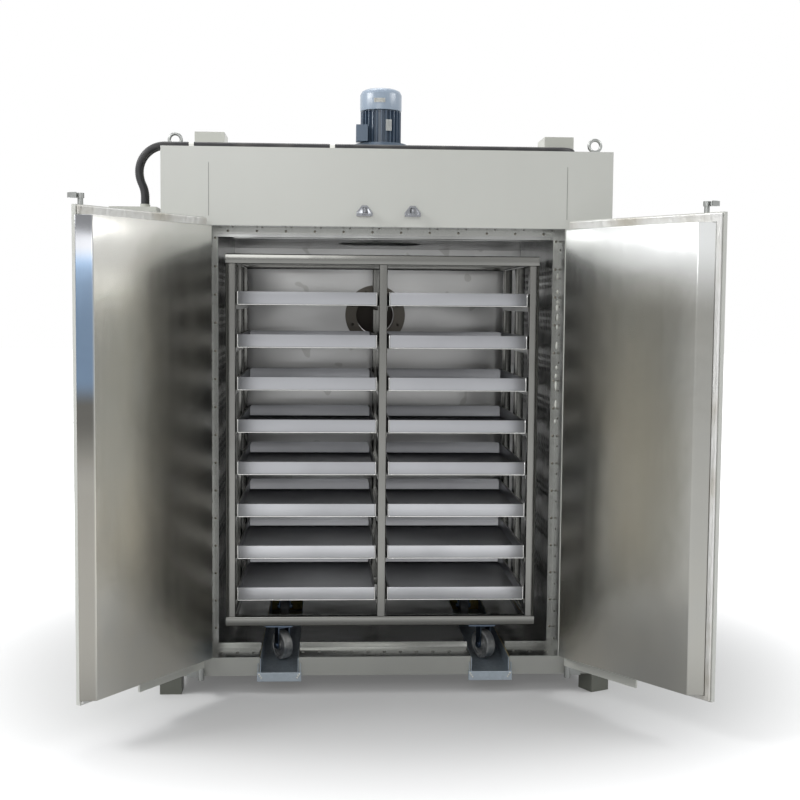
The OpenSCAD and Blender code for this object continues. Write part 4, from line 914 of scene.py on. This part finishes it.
# Roof hoses and clips
# Two black corrugated conduits run from the right heater cover along the
# roof and down into the control box, under white saddle clips.
def hose_black():
    c = Coat("black_hose")
    dust = c.wear(14.0, detail=5.0)
    return c.lay(Base_Color=c.blend(c.step(dust, 0.45, 0.75) * 0.5, rgb(28, 28, 31), rgb(84, 82, 78)),
                 Roughness=0.42 + dust * 0.2)


def run(k):
    """The points and headings along one hose."""
    hose_z, front_line, start_y = 1.7798, -0.4 + k * 0.030, -0.230
    start_x, box_x, aside = 0.593 + (0.5 - k) * 0.042, -0.787, 0.018
    roof_bend, edge_bend, box_top = 0.060, 0.085, 1.590
    half_rib = 0.0029
    jog = math.radians(25)
    jog_radius = aside / 2 / (1 - math.cos(jog))
    parts = []
    spot, head = Vector((start_x, start_y, hose_z)), Vector((0, -1, 0))

    def straight(length):
        nonlocal spot
        n = max(2, round(length / half_rib))
        for i in range(n):
            parts.append((spot + head * length * i / n, head.copy()))
        spot = spot + head * length

    def bend(to, radius, angle):
        nonlocal spot, head
        n = max(4, round(radius * angle / half_rib))
        start, first, side = spot.copy(), head.copy(), Vector(to)
        for i in range(n + 1):
            a = angle * i / n
            spot = start + radius * (math.sin(a) * first + (1 - math.cos(a)) * side)
            head = math.cos(a) * first + math.sin(a) * side
            if i < n:
                parts.append((spot.copy(), head.copy()))

    straight(start_y - front_line - roof_bend)
    bend((-1, 0, 0), roof_bend, math.pi / 2)
    straight(spot.x - box_x + aside - edge_bend)
    bend((0, 0, -1), edge_bend, math.pi / 2)
    bend((1, 0, 0), jog_radius, jog)
    bend((-math.cos(jog), 0, -math.sin(jog)), jog_radius, jog)
    straight(spot.z - box_top)
    parts.append((spot.copy(), head.copy()))
    return parts


def hoses():
    crest, valley = 0.0125, 0.0109
    bm = bmesh.new()
    for k in (0, 1):
        before, up = [], Vector((0, 0, 1))
        for i, (spot, head) in enumerate(run(k)):
            up = (up - up.dot(head) * head).normalized()
            turn = Matrix((head.cross(up), up, head)).transposed().to_4x4()
            ring = bmesh.ops.create_circle(bm, segments=14, radius=valley if i % 2 else crest,
                                           matrix=Matrix.Translation(spot) @ turn)["verts"]
            edges = list(dict.fromkeys(e for v in ring for e in v.link_edges))
            if before:
                bmesh.ops.bridge_loops(bm, edges=before + edges)
            before = edges
    bmesh.ops.recalc_face_normals(bm, faces=bm.faces)
    new_piece("corrugated_hoses", bm, hose_black(), "oven", "conduit_hoses", angle=180)


hoses()
dress("hose_clips", moulded("white_clip", rgb(214, 214, 208), 0.4), 0.0006)


# Lifting eyes
# Forged ring bolts screwed into the roof frame, zinc plated.
def eyes():
    eye_x, eye_y, ring_z, collar_z, neck_z = 0.695, 0.335, 1.805, 1.773, 1.781
    ring_radius, bar_radius = 0.0195, 0.0055
    upright = Matrix.Rotation(math.pi / 2, 4, "X")
    bm = bmesh.new()
    for x in (-eye_x, eye_x):
        for y in (-eye_y, eye_y):
            at = Matrix.Translation((x, y, ring_z)) @ upright
            bar = at @ Matrix.Translation((ring_radius, 0, 0)) @ upright
            ring = bmesh.ops.create_circle(bm, segments=12, radius=bar_radius, matrix=bar)["verts"]
            edges = list(dict.fromkeys(e for v in ring for e in v.link_edges))
            bmesh.ops.spin(bm, geom=ring + edges, cent=at.translation, axis=(0, 1, 0), angle=math.tau,
                           steps=40, use_merge=True)
            bmesh.ops.create_cone(bm, cap_ends=True, segments=28, radius1=0.017, radius2=0.013,
                                  depth=0.012, matrix=Matrix.Translation((x, y, collar_z)))
            bmesh.ops.create_cone(bm, cap_ends=True, segments=20, radius1=0.008, radius2=0.006,
                                  depth=0.010, matrix=Matrix.Translation((x, y, neck_z)))
    bmesh.ops.remove_doubles(bm, verts=bm.verts, dist=1e-5)
    bmesh.ops.recalc_face_normals(bm, faces=bm.faces)
    new_piece("ring_bolts", bm, plated, "oven", "lifting_eyes", angle=50)


eyes()


# Door gaskets
# Soft pale silicone profile pressed on round each plug, rounded on its face.
def silicone():
    c = Coat("gasket_silicone")
    crease = c.wear(60.0, stretch=(1, 1, 0.4), detail=4.0)
    soil = c.wear(6.0, detail=4.0)
    return c.lay(Base_Color=c.blend(c.step(soil, 0.4, 0.75), rgb(206, 206, 204), rgb(172, 168, 158)),
                 Roughness=0.40, Metallic=0.55, Normal=c.relief(crease, 0.004, 0.9))


seal = silicone()
for side in ("left", "right"):
    dress(side + "_door_gasket", seal, 0.0035, 4)


# Hidden pieces
# Mineral wool, heater hairpins and the fan wheel lie inside the walls and
# show only when the oven is taken apart.
def wool():
    c = Coat("mineral_wool")
    fibre = c.wear(120.0, stretch=(1, 4, 1), detail=6.0)
    return c.lay(Base_Color=c.blend(fibre, rgb(206, 190, 120), rgb(160, 140, 84)), Roughness=0.95,
                 Normal=c.relief(fibre, 0.004, 0.8))


wool_fill = wool()
for node in ("insulation", "left_door_fill", "right_door_fill"):
    finish_node(node, wool_fill)
sheath = stainless("heater_sheath", rgb(112, 108, 102), 0.4, (1, 1, 3), 0.0004, 30.0, stain=0.8)
finish_node("heating_elements", sheath)
finish_node("fan_rotor", liner_sheet)
